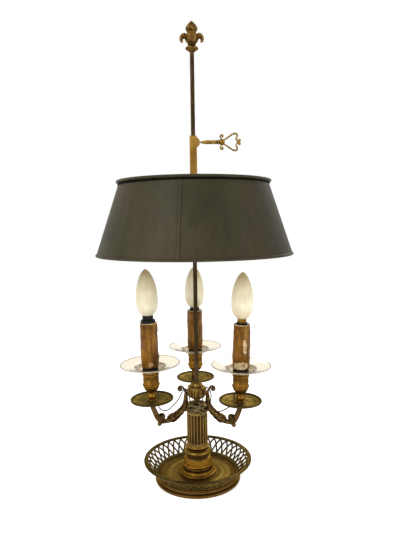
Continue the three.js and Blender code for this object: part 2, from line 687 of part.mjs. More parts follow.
function leafVase() {
  const body = lobed(scaled(VASE_SHARES, VASE_RADIUS, vaseBottom, VASE_HEIGHT), VASE_PETALS,
    PETAL_DEPTH_SHARE, 4 * VASE_PETALS);
  const bore = cylinder(tieHole, vaseBottom - OVERRUN, capBottom + OVERRUN, 10);
  return cut(body.rotateZ(Math.PI / VASE_PETALS / 2), bore);
}

function rodCap() {
  const body = boredTurning(
    scaled(CAP_SHARES, CAP_RADIUS, capBottom, CAP_HEIGHT), tieHole, 18);
  const socket = block(guideHole, guideHole, capBottom + CAP_LEDGE,
    capBottom + CAP_HEIGHT + OVERRUN);
  return cut(body, socket);
}

function rod() {
  const square = block(ROD_WIDTH, ROD_WIDTH, rodShoulder, rodTop);
  const tie = cylinder(TIE_RADIUS, nutUnder, rodShoulder + OVERRUN, 12);
  const tenon = cylinder(TENON_RADIUS, rodTop - OVERRUN, rodTop + TENON_LENGTH, 10);
  return joined(square, tie, tenon);
}

// The finial: a flared foot, a ball with four curled leaves and a lobed bud
function finial() {
  const bottom = rodTop + SEAT;
  const core = lobed(scaled(FINIAL_SHARES, FINIAL_RADIUS, bottom, FINIAL_HEIGHT), FINIAL_LOBES,
    LOBE_DEPTH_SHARE, 2 * FINIAL_LOBES);
  const path = FINIAL_LEAF_SHARES.map(
    ([x, z]) => [x * FINIAL_LEAF_REACH, bottom + z * FINIAL_HEIGHT]);
  const leaf = swept(path, girthsOf(FINIAL_LEAF_GIRTH_SHARES, FINIAL_LEAF_GIRTH), 4, 4);
  const leaves = Array.from({ length: FINIAL_LEAVES }, (_, k) => leaf.clone()
    .rotateZ((k / FINIAL_LEAVES) * 2 * Math.PI));
  const bore = cylinder(TENON_RADIUS + RUNNING, bottom - OVERRUN,
    rodTop + TENON_LENGTH + SEAT, 10);
  return cut(joined(core, ...leaves), bore);
}

// Spiral centre line of an arm's scroll, from its eye outward
function volutePath() {
  return Array.from({ length: VOLUTE_STEPS + 1 }, (_, i) => {
    const out = i / VOLUTE_STEPS;
    const angle = THREE.MathUtils.degToRad(
      VOLUTE_START_DEGREES - (1 - out) * VOLUTE_TURN_DEGREES);
    const radius = VOLUTE_RADIUS * THREE.MathUtils.lerp(VOLUTE_EYE_SHARE, 1, out);
    return [VOLUTE_REACH + radius * Math.cos(angle),
      armSeat + VOLUTE_RISE + radius * Math.sin(angle)];
  });
}

// A place on an arm. The shares count from its lowest stretch, and the seat's own lift comes in
// gradually from the column out.
function onArm(shares, lift) {
  return shares.map(([reach, rise]) => [
    reach * CANDLE_REACH, armLow + rise * ARM_RISE + lift * reach ** 2]);
}

function ball(radius, [reach, height]) {
  return new THREE.SphereGeometry(radius, 6, 4).rotateX(Math.PI / 2).translate(reach, 0, height);
}

// One arm: scroll, leaf-clad S curve, knuckle with bud and spur, rise and threaded nipple
function arm({ lean, lift }) {
  const scroll = volutePath();
  const stem = onArm(ARM_SHARES, lift);
  const girths = [
    ...scroll.map(() => [VOLUTE_GIRTH, VOLUTE_GIRTH]), ...girthsOf(ARM_GIRTH_SHARES, ARM_GIRTH),
  ];
  const branch = swept([...scroll, ...stem], girths, 24, 5);
  const spur = swept(onArm(SPUR_SHARES, lift), girthsOf(SPUR_GIRTH_SHARES, SPUR_GIRTH), 2, 4);
  const leaf = swept(onArm(LEAF_SHARES, lift), girthsOf(LEAF_GIRTH_SHARES, LEAF_GIRTH), 3, 4);
  const bud = ball(BUD_RADIUS, onArm([BUD_SHARES], lift)[0]);
  const lug = crossCylinder(LUG_RADIUS, lugFace, LUG_REACH_SHARE * CANDLE_REACH, 8)
    .translate(0, 0, lugHeight);
  const leaned = (body) => body.rotateY(THREE.MathUtils.degToRad(lean))
    .translate(CANDLE_REACH, 0, armSeat + lift);
  const seat = leaned(cylinder(ARM_SEAT_RADIUS, -ARM_SEAT_LENGTH, 0, 8));
  const nipple = leaned(cylinder(NIPPLE_RADIUS, -ARM_SEAT_LENGTH, NIPPLE_LENGTH, 8));
  const whole = joined(branch, ball(VOLUTE_EYE, scroll[0]), bud, spur, leaf, lug, seat, nipple);
  const screwHole = crossCylinder(ARM_SCREW_RADIUS + RUNNING, lugFace - OVERRUN,
    screwEnd + SEAT, 6).translate(0, 0, lugHeight);
  return cut(whole, screwHole);
}

function armScrew() {
  const head = crossCylinder(ARM_SCREW_HEAD_RADIUS, screwSeat - ARM_SCREW_HEAD, screwSeat, 6);
  const shank = crossCylinder(ARM_SCREW_RADIUS, screwSeat - SEAT, screwEnd, 6);
  return joined(head, shank).translate(0, 0, lugHeight);
}

function dripPan({ holeAside }) {
  const floor = panBottom + PAN_THICKNESS;
  const flat = PAN_FLAT_SHARE * PAN_RADIUS;
  const slope = PAN_SLOPE_SHARE * PAN_RADIUS;
  const rise = PAN_SLOPE_RISE_SHARE * PAN_DEPTH;
  const body = turned([
    [nippleHole, panBottom], [flat, panBottom], [slope, panBottom + rise],
    [PAN_RADIUS, panBottom + PAN_DEPTH], [PAN_RADIUS - PAN_THICKNESS, panBottom + PAN_DEPTH],
    [slope - PAN_THICKNESS / 2, floor + rise], [flat, floor], [nippleHole, floor],
    [nippleHole, panBottom],
  ], 16);
  const hole = cylinder(PAN_HOLE_RADIUS, panBottom - OVERRUN, floor + OVERRUN, 8)
    .translate(-PAN_HOLE_REACH, holeAside, 0);
  return cut(body, hole);
}

function candleCup() {
  const outer = scaled(CUP_SHARES, CUP_RADIUS, cupBottom, CUP_HEIGHT);
  return turned([
    [nippleHole, cupBottom], ...outer, [cavityRadius, cupTop], [cavityRadius, cavityFloor],
    [nippleHole, cavityFloor], [nippleHole, cupBottom],
  ], CANDLE_SIDES);
}

// The glass disc: a thick dished bowl round the candle with a wide flange above it
function glassDisc() {
  const bowlEdge = glassBottom + BOWL_DEPTH;
  const rim = bowlEdge + GLASS_FLARE;
  return turned([
    [cavityRadius, glassBottom], [CUP_RADIUS, glassBottom],
    [BOWL_RADIUS, bowlEdge - GLASS_THICKNESS / 2], [GLASS_RADIUS, rim],
    [GLASS_RADIUS - GLASS_THICKNESS / 2, rim + GLASS_THICKNESS],
    [BOWL_RADIUS - GLASS_THICKNESS / 2, bowlEdge + GLASS_THICKNESS / 2],
    [CUP_RADIUS, glassBottom + GLASS_THICKNESS], [cavityRadius, glassBottom + GLASS_THICKNESS],
    [cavityRadius, glassBottom],
  ], 18);
}

// The lamp holder: a tube with a shoulder for the candle sleeve and an open socket
function lampHolder({ holderEnd }) {
  const top = sleeveTop + holderEnd;
  const neckBottom = Math.max(top - HOLDER_NECK, sleeveTop);
  const socketFloor = top - SOCKET_DEPTH;
  return turned([
    [nippleHole, holderBottom], [holderRadius, holderBottom],
    [holderRadius, shoulderBottom], [CUP_RADIUS - RUNNING, shoulderBottom],
    [CUP_RADIUS - RUNNING, shoulderTop], [holderRadius, shoulderTop],
    [holderRadius, neckBottom], [HOLDER_NECK_RADIUS, neckBottom],
    [HOLDER_NECK_RADIUS, top], [SOCKET_RADIUS, top], [SOCKET_RADIUS, socketFloor],
    [nippleHole, socketFloor], [nippleHole, holderBottom],
  ], CANDLE_SIDES);
}

function candleSleeve() {
  const outer = scaled(SLEEVE_SHARES, SLEEVE_RADIUS, sleeveBottom, SLEEVE_HEIGHT);
  return boredTurning(outer, holderRadius + RUNNING, CANDLE_SIDES);
}

function bulbCapBottom({ holderEnd, bulbLift }) {
  return sleeveTop + holderEnd - SOCKET_DEPTH + SEAT + bulbLift;
}

function bulbCap(candle) {
  const outer = scaled(
    BULB_CAP_SHARES, BULB_CAP_RADIUS, bulbCapBottom(candle), BULB_CAP_HEIGHT);
  return turned([[0, outer[0][1]], ...outer, [0, outer[outer.length - 1][1]]], 8);
}

function bulbGlass(candle) {
  const bottom = bulbCapBottom(candle) + BULB_CAP_HEIGHT + SEAT;
  return turned([[0, bottom], ...scaled(BULB_SHARES, BULB_RADIUS, bottom, BULB_HEIGHT)], 12);
}

// Routes of the feeder wires, [x, y, z] from the candle cup to the junction
const WIRE_ROUTES = {
  left: [
    [-63.2, -40.9, 168.2], [-63.2, -40.9, 160], [-63.2, -40.9, 151], [-63.1, -40.9, 146],
    [-61.9, -40.2, 141.2], [-58.8, -38.5, 137.2], [-54.8, -36.4, 134.6], [-50.4, -34, 133.6],
    [-45.6, -31.2, 135], [-41, -28.3, 138.3], [-36.4, -25.3, 142], [-31.8, -22.3, 146.8],
    [-28, -19.7, 152], [-24.9, -17.5, 158], [-21.8, -16.1, 162.6], [-18.1, -15.2, 163],
    [-15, -15.1, 158.5], [-12.8, -15.1, 151], [-11.9, -15, 144], [-10.8, -15.2, 138],
    [-8.2, -16.6, 134.6], [-4.6, -17, 133.8], [-2.4, -14.8, 134.4], [-3.2, -11.4, 135.8],
    [-4.6, -8.6, 134.4], [-4.93, -7.89, 130.5], [-4.93, -7.89, 127], [-4.93, -7.89, 123.4],
  ],
  right: [
    [60.7, -44.5, 165.4], [60.7, -44.5, 160], [60.7, -44.5, 151], [60.4, -44.3, 147],
    [58.2, -42.9, 143.4], [54.3, -40.5, 140.4], [50.1, -37.9, 137.4], [45.8, -35.3, 133.9],
    [41.5, -32.7, 130.7], [36.9, -29.8, 128.4], [32.3, -26.9, 127.9], [28.1, -24.2, 129.6],
    [24.7, -22, 133], [22.6, -20.2, 138], [23, -19.5, 144.5], [23.9, -19.3, 151],
    [23.2, -18.6, 157.2], [21.3, -17.9, 161.9], [18.3, -16.8, 165], [15.2, -15.6, 164.4],
    [12.4, -15, 159.5], [11, -15.4, 151.5], [9.7, -15.6, 144.5],
    [7.8, -12.8, 140.2], [5.7, -9.2, 136.8], [4.93, -7.89, 132.4], [4.93, -7.89, 127.6],
    [4.93, -7.89, 123.4],
  ],
  back: [
    [-7.8, 74.8, 167.2], [-7.8, 74.8, 160], [-7.8, 74.8, 149.6], [-8.2, 74.3, 147],
    [-9.7, 70.8, 145], [-12, 64.8, 144], [-14.4, 57.7, 144.8], [-15.9, 50.6, 146.6],
    [-16, 44.6, 148.2], [-14.9, 39.2, 149.5], [-12.4, 33.8, 151.8], [-9.2, 29.3, 156],
    [-6.4, 26.4, 160.6], [-5.6, 23.3, 163.4], [-6.4, 20.5, 159.8], [-7.1, 18.8, 152],
    [-6.8, 16.5, 144], [-5.4, 13, 137.4], [-1.2, 10.2, 133.9], [4.6, 8.8, 133.5],
    [9, 4, 133.5], [10.7, -3, 133.6], [10.6, -10, 133.9], [9.6, -15.4, 134.4],
    [9, -19, 133], [9.6, -20.6, 128.6], [11.8, -20, 123.4], [14.2, -18.6, 118.8],
    [13.6, -18.8, 115.4], [10.9, -20, 115], [8.2, -20.6, 118.8], [5.6, -20.8, 124.6],
    [3.8, -20.8, 130], [2.8, -18.6, 134], [1.6, -14.8, 136], [0.5, -11.2, 135.8],
    [0, -9.3, 132.2], [0, -9.3, 127.6], [0, -9.3, 123.4],
  ],
};

function feederWire(route) {
  const curve = new THREE.CatmullRomCurve3(route.map(([x, y, z]) => new THREE.Vector3(x, y, z)));
  const section = new THREE.Shape(Array.from({ length: WIRE_SIDES }, (_, k) => {
    const angle = (k / WIRE_SIDES) * 2 * Math.PI;
    return new THREE.Vector2(WIRE_RADIUS * Math.cos(angle), WIRE_RADIUS * Math.sin(angle));
  }));
  return new THREE.ExtrudeGeometry(section, {
    extrudePath: curve, steps: Math.ceil(curve.getLength() / WIRE_STEP),
  });
}

// Middle of the shade's wall, [radius, height], where it meets its lower and upper bead
const wallFoot = [SHADE_FOOT_RADIUS - BEAD_RADIUS, SHADE_BOTTOM + 2 * BEAD_RADIUS];
const wallHead = [SHADE_HEAD_RADIUS - BEAD_RADIUS, shadeTop - 2 * BEAD_RADIUS];

// The shade: a thin cone of sheet metal with a rolled bead along each edge
function shadeShell() {
  const half = SHADE_WALL / 2;
  const bead = ([radius, height], turn) => Array.from({ length: BEAD_SIDES - 1 }, (_, k) => {
    const angle = turn * (Math.PI / 2 - ((k + 1) / BEAD_SIDES) * 2 * Math.PI);
    return [
      radius + turn * BEAD_RADIUS * Math.cos(angle),
      height - turn * BEAD_RADIUS + BEAD_RADIUS * Math.sin(angle),
    ];
  });
  const beside = ([radius, height], side) => [radius + side * half, height];
  return turned([
    beside(wallFoot, 1), ...bead(wallFoot, 1), beside(wallFoot, -1),
    beside(wallHead, -1), ...bead(wallHead, -1), beside(wallHead, 1), beside(wallFoot, 1),
  ], SHADE_SIDES);
}

// Radius of the shade's inner face at some height between its beads
function shadeInside(height) {
  const share = (height - wallFoot[1]) / (wallHead[1] - wallFoot[1]);
  return THREE.MathUtils.lerp(wallFoot[0], wallHead[0], share) - SHADE_WALL / 2;
}

// The square guide sleeve with a shoulder for the spider and a boss for the key's screw
function guideSleeve() {
  const tube = block(GUIDE_WIDTH, GUIDE_WIDTH, guideBottom, guideTop);
  const shoulderHigh = spiderBottom - SEAT;
  const shoulder = block(GUIDE_SHOULDER_WIDTH, GUIDE_SHOULDER_WIDTH,
    shoulderHigh - GUIDE_SHOULDER, shoulderHigh);
  const side = GUIDE_WIDTH / 2;
  const corners = ([y, z], x) => [[-y, -z], [y, -z], [y, z], [-y, z]].map(
    ([across, rise]) => new THREE.Vector3(x, across, keyHeight + rise));
  const root = corners(BOSS_ROOT, side - GUIDE_WIDTH / 8);
  const boss = lofted([root, corners(BOSS_ROOT, side), corners(BOSS_TIP, side + BOSS_LENGTH)]);
  const channel = block(guideHole, guideHole, guideBottom - OVERRUN, guideTop + OVERRUN);
  const screwHole = crossCylinder(KEY_SCREW_RADIUS + RUNNING, 0, side + BOSS_LENGTH + OVERRUN,
    10).translate(0, 0, keyHeight);
  return cut(joined(tube, shoulder, boss), channel, screwHole);
}

// The spider: a ring inside the shade's upper edge, flat arms and a square-holed hub
function shadeSpider() {
  const outer = shadeInside(spiderTop) - SEAT;
  const inner = outer - SPIDER_RING_WIDTH;
  const ring = turned([
    [inner, spiderBottom], [outer, spiderBottom], [outer, spiderTop], [inner, spiderTop],
    [inner, spiderBottom],
  ], SHADE_SIDES);
  const hub = cylinder(SPIDER_HUB_RADIUS, spiderBottom, spiderTop, 14);
  const bars = Array.from({ length: SPIDER_ARMS }, (_, k) => new THREE.BoxGeometry(
    inner + SPIDER_RING_WIDTH / 2, SPIDER_ARM_WIDTH, SPIDER_THICKNESS)
    .translate((inner + SPIDER_RING_WIDTH / 2) / 2, 0, (spiderTop + spiderBottom) / 2)
    .rotateZ(THREE.MathUtils.degToRad(SPIDER_START_DEGREES) + (k / SPIDER_ARMS) * 2 * Math.PI));
  const hole = block(GUIDE_WIDTH + 2 * SEAT, GUIDE_WIDTH + 2 * SEAT, spiderBottom - OVERRUN,
    spiderTop + OVERRUN);
  return cut(joined(ring, hub, ...bars), hole);
}

const bossFace = GUIDE_WIDTH / 2 + BOSS_LENGTH;
const stemStart = bossFace + 2 * SEAT;
const keyCollarStart = stemStart + KEY_STEM_LENGTH;
const keyBowStart = keyCollarStart + KEY_COLLAR_LENGTH;

function keyScrew() {
  return crossCylinder(KEY_SCREW_RADIUS, ROD_WIDTH / 2 + SEAT, bossFace + SEAT, 10)
    .translate(0, 0, keyHeight);
}

// The key: a swelling stem, a round collar with two curls, and an open bow with three lobes
function keyBow() {
  const alongX = (geometry) => geometry.rotateY(Math.PI / 2);
  const stem = alongX(turned([
    [0, stemStart], ...scaled(KEY_STEM_SHARES, KEY_STEM_RADIUS, stemStart, KEY_STEM_LENGTH),
    [0, keyCollarStart],
  ], 8));
  const collar = alongX(turned([
    [0, keyCollarStart - SEAT],
    ...scaled(KEY_COLLAR_SHARES, KEY_COLLAR_RADIUS, keyCollarStart - SEAT, KEY_COLLAR_LENGTH),
    [0, keyBowStart],
  ], 8));
  const wire = [[KEY_WIRE_RADIUS, KEY_WIRE_RADIUS], [KEY_WIRE_RADIUS, KEY_WIRE_RADIUS]];
  const side = (turn) => {
    const bow = KEY_BOW_SHARES.map(
      ([x, z]) => [keyBowStart + x * KEY_BOW_LENGTH, turn * z * KEY_BOW_HALF_HEIGHT]);
    const curl = KEY_CURL_SHARES.map(
      ([x, z]) => [keyCollarStart + x * KEY_COLLAR_LENGTH, turn * z * KEY_COLLAR_RADIUS]);
    const lobe = ball(KEY_LOBE_RADIUS,
      [keyBowStart + KEY_BOW_LENGTH + KEY_LOBE_RADIUS, turn * KEY_LOBE_RADIUS]);
    return [swept(bow, wire, 9, 4), swept(curl, wire, 4, 4),
      ball(KEY_CURL_EYE, curl[curl.length - 1]), lobe];
  };
  const heart = ball(KEY_LOBE_RADIUS * KEY_HEART_SHARE, [keyBowStart + KEY_BOW_LENGTH, 0]);
  return joined(stem, collar, heart, ...side(1), ...side(-1)).translate(0, 0, keyHeight);
}

const BRASS = { color: 0x8a6a34, roughness: 0.42, metalness: 0.9 };
const BRIGHT_BRASS = { color: 0xa97c3a, roughness: 0.32, metalness: 0.95 };
const BRONZE = { color: 0x5a4223, roughness: 0.5, metalness: 0.85 };
const OLIVE_BRASS = { color: 0x75653a, roughness: 0.5, metalness: 0.8 };
const DARK_STEEL = { color: 0x4b4034, roughness: 0.55, metalness: 0.8 };
const SHADE_PAINT = { color: 0x46423a, roughness: 0.45, metalness: 0.1 };
const GLASS = { color: 0xeeeede, roughness: 0.05, metalness: 0 };
const FROSTED = { color: 0xe6dcc0, roughness: 0.35, metalness: 0 };
const WAX = { color: 0x8c602a, roughness: 0.6, metalness: 0 };
const BAKELITE = { color: 0x1c1d18, roughness: 0.4, metalness: 0 };
const CERAMIC = { color: 0xd8d2c2, roughness: 0.5, metalness: 0 };
const INSULATION = { color: 0x3c3c38, roughness: 0.6, metalness: 0 };

function piece(name, geometry, finish) {
  const mesh = new THREE.Mesh(outward(geometry), new THREE.MeshStandardMaterial(finish));
  mesh.name = name;
  return mesh;
}

function candle(name, shape) {
  const group = new THREE.Group();
  group.rotation.z = THREE.MathUtils.degToRad(shape.degrees);
  group.add(piece(`arm_${name}`, arm(shape), BRONZE));
  group.add(piece(`arm_screw_${name}`, armScrew(), DARK_STEEL));
  const stack = new THREE.Group();
  stack.position.set(CANDLE_REACH, 0, armSeat + shape.lift);
  stack.rotation.y = THREE.MathUtils.degToRad(shape.lean);
  stack.add(piece(`drip_pan_${name}`, dripPan(shape), OLIVE_BRASS));
  stack.add(piece(`candle_cup_${name}`, candleCup(), BRIGHT_BRASS));
  stack.add(piece(`glass_disc_${name}`, glassDisc(), GLASS));
  stack.add(piece(`lamp_holder_${name}`, lampHolder(shape), BAKELITE));
  stack.add(piece(`candle_sleeve_${name}`, candleSleeve(), WAX));
  stack.add(piece(`bulb_cap_${name}`, bulbCap(shape), BRIGHT_BRASS));
  stack.add(piece(`bulb_glass_${name}`, bulbGlass(shape), FROSTED));
  group.add(stack);
  return group;
}

const lamp = new THREE.Group();
lamp.add(piece('base_plinth', basePlinth(), BRASS));
lamp.add(piece('gallery', gallery(), BRASS));
lamp.add(piece('gallery_rim', galleryRim(), BRASS));
lamp.add(piece('base_washer', baseWasher(), DARK_STEEL));
lamp.add(piece('base_nut', baseNut(), DARK_STEEL));
lamp.add(piece('column_foot', columnFoot(), BRIGHT_BRASS));
lamp.add(piece('column_shaft', columnShaft(), BRASS));
lamp.add(piece('column_collar', columnCollar(), BRASS));
lamp.add(piece('wire_junction', wireJunction(), CERAMIC));
lamp.add(piece('dome_nut', domeNut(), OLIVE_BRASS));
lamp.add(piece('leaf_vase', leafVase(), BRIGHT_BRASS));
lamp.add(piece('rod_cap', rodCap(), BRASS));
lamp.add(piece('rod', rod(), DARK_STEEL));
lamp.add(piece('finial', finial(), BRASS));
for (const [name, shape] of Object.entries(CANDLES)) lamp.add(candle(name, shape));
for (const [name, route] of Object.entries(WIRE_ROUTES)) {
  lamp.add(piece(`feeder_wire_${name}`, feederWire(route), INSULATION));
}
lamp.add(piece('shade_shell', shadeShell(), SHADE_PAINT));
lamp.add(piece('guide_sleeve', guideSleeve(), BRIGHT_BRASS));
lamp.add(piece('shade_spider', shadeSpider(), BRASS));
lamp.add(piece('key_screw', keyScrew(), DARK_STEEL));
lamp.add(piece('key_bow', keyBow(), BRIGHT_BRASS));

export default lamp;
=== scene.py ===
import json
from collections import namedtuple
from math import atan, ceil, cos, exp, hypot, pi, radians, sin, sqrt

import bmesh
import bpy
import numpy as np
from mathutils import Matrix, Vector


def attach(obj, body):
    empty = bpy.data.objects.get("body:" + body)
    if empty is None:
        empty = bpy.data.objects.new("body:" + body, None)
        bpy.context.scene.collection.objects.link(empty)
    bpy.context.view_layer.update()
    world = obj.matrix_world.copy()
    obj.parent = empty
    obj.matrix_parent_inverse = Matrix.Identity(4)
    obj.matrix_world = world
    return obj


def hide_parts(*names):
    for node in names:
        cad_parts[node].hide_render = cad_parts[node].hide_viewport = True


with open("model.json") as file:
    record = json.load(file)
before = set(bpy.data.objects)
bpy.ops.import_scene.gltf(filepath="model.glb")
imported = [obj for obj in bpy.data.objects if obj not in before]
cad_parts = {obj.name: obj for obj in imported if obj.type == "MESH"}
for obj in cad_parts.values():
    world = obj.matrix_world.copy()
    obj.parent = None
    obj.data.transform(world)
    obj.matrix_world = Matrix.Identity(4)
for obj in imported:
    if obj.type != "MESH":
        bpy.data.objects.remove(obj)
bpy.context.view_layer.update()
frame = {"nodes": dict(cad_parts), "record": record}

MM = 0.001                        # outlines and places are written in millimetres
TURN = 2 * pi

# Camera, as fitted to the photograph
CAMERA_DISTANCE = 848.06
CAMERA_HEIGHT = 442.77
CAMERA_LENS = 33.53               # for a sensor whose long side is 36 mm
CAMERA_PITCH = radians(5.83)
CAMERA_ROLL = radians(-0.72)
CAMERA_YAW = radians(1.12)

# Fineness
ROUND = 96                        # sides of a turned piece
TOUCHING = 0.001
EASED_ANGLE = radians(24)
ARCH_STEPS = 28
SCROLL_STEPS = 18
ROD_STEPS = 90
RIB_SECTION = [(-1, -0.7), (-0.6, -1), (0.6, -1), (1, -0.7), (1, 0.3), (0.6, 0.9), (0, 1.05),
               (-0.6, 0.9), (-1, 0.3)]

# Clearance between two pieces that rest on each other, as in the frame
SEAT = 0.3

# Feeder wires
WIRE_DIAMETER = 1.9
WIRE_SIDES = 12

# Routes of the feeder wires, from the candle cup to the junction inside the column
WIRE_ROUTES = {
    "left": [
        (-63.2, -40.9, 168.2), (-63.2, -40.9, 160), (-63.2, -40.9, 151), (-63.1, -40.9, 146),
        (-61.9, -40.2, 141.2), (-58.8, -38.5, 137.2), (-54.8, -36.4, 134.6), (-50.4, -34, 133.6),
        (-45.6, -31.2, 135), (-41, -28.3, 138.3), (-36.4, -25.3, 142), (-31.8, -22.3, 146.8),
        (-28, -19.7, 152), (-24.9, -17.5, 158), (-21.8, -16.1, 162.6), (-18.1, -15.2, 163),
        (-15, -15.1, 158.5), (-12.8, -15.1, 151), (-11.9, -15, 144), (-10.8, -15.2, 138),
        (-8.2, -16.6, 134.6), (-4.6, -17, 133.8), (-2.4, -14.8, 134.4), (-3.2, -11.4, 135.8),
        (-4.6, -8.6, 134.4), (-4.93, -7.89, 130.5), (-4.93, -7.89, 127), (-4.93, -7.89, 123.4),
    ],
    "right": [
        (60.7, -44.5, 165.4), (60.7, -44.5, 160), (60.7, -44.5, 151), (60.4, -44.3, 147),
        (58.2, -42.9, 143.4), (54.3, -40.5, 140.4), (50.1, -37.9, 137.4), (45.8, -35.3, 133.9),
        (41.5, -32.7, 130.7), (36.9, -29.8, 128.4), (32.3, -26.9, 127.9), (28.1, -24.2, 129.6),
        (24.7, -22, 133), (22.6, -20.2, 138), (23, -19.5, 144.5), (23.9, -19.3, 151),
        (23.2, -18.6, 157.2), (21.3, -17.9, 161.9), (18.3, -16.8, 165), (15.2, -15.6, 164.4),
        (12.4, -15, 159.5), (11, -15.4, 151.5), (9.7, -15.6, 144.5),
        (7.8, -12.8, 140.2), (5.7, -9.2, 136.8), (4.93, -7.89, 132.4), (4.93, -7.89, 127.6),
        (4.93, -7.89, 123.4),
    ],
    "back": [
        (-7.8, 74.8, 167.2), (-7.8, 74.8, 160), (-7.8, 74.8, 149.6), (-8.2, 74.3, 147),
        (-9.7, 70.8, 145), (-12, 64.8, 144), (-14.4, 57.7, 144.8), (-15.9, 50.6, 146.6),
        (-16, 44.6, 148.2), (-14.9, 39.2, 149.5), (-12.4, 33.8, 151.8), (-9.2, 29.3, 156),
        (-6.4, 26.4, 160.6), (-5.6, 23.3, 163.4), (-6.4, 20.5, 159.8), (-7.1, 18.8, 152),
        (-6.8, 16.5, 144), (-5.4, 13, 137.4), (-1.2, 10.2, 133.9), (4.6, 8.8, 133.5),
        (9, 4, 133.5), (10.7, -3, 133.6), (10.6, -10, 133.9), (9.6, -15.4, 134.4),
        (9, -19, 133), (9.6, -20.6, 128.6), (11.8, -20, 123.4), (14.2, -18.6, 118.8),
        (13.6, -18.8, 115.4), (10.9, -20, 115), (8.2, -20.6, 118.8), (5.6, -20.8, 124.6),
        (3.8, -20.8, 130), (2.8, -18.6, 134), (1.6, -14.8, 136), (0.5, -11.2, 135.8),
        (0, -9.3, 132.2), (0, -9.3, 127.6), (0, -9.3, 123.4),
    ],
}

# The slack of the wires over the collar
BINDING = [
    (-15, -14.5, 139), (-2, -23, 134), (12, -19, 139.5), (16, -15.5, 133), (1, -24.5, 131.5),
    (-15, -15.5, 127), (-13, -18, 134), (2, -24, 135), (15, -17, 124.5), (10, -21, 123),
    (-2, -25, 129.5), (-11, -20, 123.5), (-4, -23.5, 126), (5, -23, 137), (2, -22.5, 141.5),
]

# The candles. Degrees go round the column, the lean is outwards, the lift is the arm's, and the
# holder's end stands over the sleeve, with the bulb unscrewed by its lift
CANDLE_REACH = 83
Candle = namedtuple("Candle", "name degrees lean lift holder_end bulb_lift seed")
CANDLES = [
    Candle("left", 208.35, 1.8, 2, 11.6, 0, 3),
    Candle("right", 328.35, 1.6, -2, 3.3, 5.7, 11),
    Candle("back", 91.3, 0, -0.5, 5.3, 0, 29),
]

# Arms, [share of the reach, share of the rise] and [half size in the plane, half size across]
ARM_LOW = 112
ARM_RISE = 38
ARM_SHARES = [
    (0.258, 1.16), (0.259, 0.95), (0.262, 0.74), (0.288, 0.55), (0.349, 0.375), (0.464, 0.195),
    (0.602, 0.06), (0.699, 0.005), (0.771, 0.016), (0.837, 0.095), (0.898, 0.276),
    (0.952, 0.526), (0.99, 0.75), (1, 0.93),
]
ARM_GIRTHS = [
    (2.4, 2.7), (3.7, 3.2), (4.6, 3.7), (5.2, 4.5), (5.9, 5.2), (6.6, 5.8), (5.5, 5), (3.8, 3.6),
    (3.7, 3.5), (5.1, 4.9), (4.8, 4.7), (4.3, 4.3), (4.2, 4.2), (4.4, 4.4),
]
SCROLL_PLACE = (31.5, 163.3)
SCROLL_RADIUS = 5.2
SCROLL_GIRTH = 1.45
SCROLL_TURN = radians(430)
SCROLL_START = radians(150)
LEAVES = [                        # paths of the upper, the lower and the side leaf
    [(0.47, 0.26), (0.54, 0.27), (0.6, 0.24), (0.645, 0.19), (0.67, 0.16), (0.68, 0.2)],
    [(0.37, 0.26), (0.43, 0.1), (0.49, 0.0), (0.54, -0.06), (0.57, -0.085), (0.59, -0.06)],
    [(0.3, 0.5), (0.33, 0.36), (0.37, 0.25), (0.42, 0.16), (0.46, 0.13)],
]
SPUR = [(0.79, 0.07), (0.83, -0.01), (0.858, -0.08), (0.878, -0.14)]
BUD_PLACE = (0.8, 0.235)
LUG_HEIGHT = 125.68               # of the pin that holds the arm in the collar

# Gallery
GALLERY_BAYS = 42
GALLERY_FOOT = (68.9, 12.8)       # middle of the strip at its foot, [radius, height]
GALLERY_HEAD = (88.1, 34.4)
ARCH_FOOT = 2.0                   # up the slant
ARCH_RISE = 24.4
ARCH_POWER = 1.4
RIB_WIDTH = 3.1
RIB_DEPTH = 2
WEAVE = 0.35                      # how far an arch passes over one neighbour and under the next

# Column, rod and shade
FLUTES = 20
FLUTE_DEPTH = 1.7
FLUTE_HALF_WIDTH = 1.85
SHAFT_RADIUS = 17.8
SHAFT_ENDS = (61.9, 119.9)
SHAFT_BORE = 12.5
FLUTE_MARGIN = 3.4
ROD_HALF = 3.5
BORE = 3.3                        # of what the rod's round end passes through
ROD_ENDS = (166.2, 713.2)
SEAM_DEGREES = (260.7, 262.5)     # the lap of the shade's sheet
SEAM_EDGE = 0.002                 # in radians
NOTCH_DEGREES = 306               # the dent under the lip
VASE_FOOT = 141.8
VASE_RISE = 21.5
FINIAL_BUD = 743                  # above it the finial is lobed
KEY_HEIGHT = 571.3
SPIDER_DEGREES = 268.35

# Candle, above the arm's seat
PIN_BORE = 3.8                    # of what the arm's pin passes through
SLEEVE_FOOT = 59
SLEEVE_TOP = 130.5
DRIPS = 13
SCREW_CAP = 25.7                  # length of a bulb's cap
THREAD = 2.8
BULB_RADIUS = 17.6
BULB_LENGTH = 75

SKY_GLOW = 0.55                   # share of the white surroundings that lights the lamp

FINISHES = {}                     # materials by name


def srgb(red, green, blue):
    """A colour written as it looks on a screen, 0 to 255, in the linear values that shaders use."""
    def linear(value):
        share = value / 255
        return share / 12.92 if share <= 0.04045 else ((share + 0.055) / 1.055) ** 2.4
    return (linear(red), linear(green), linear(blue), 1.0)


def in_scene(name, data):
    made = bpy.data.objects.new(name, data)
    bpy.context.scene.collection.objects.link(made)
    return made


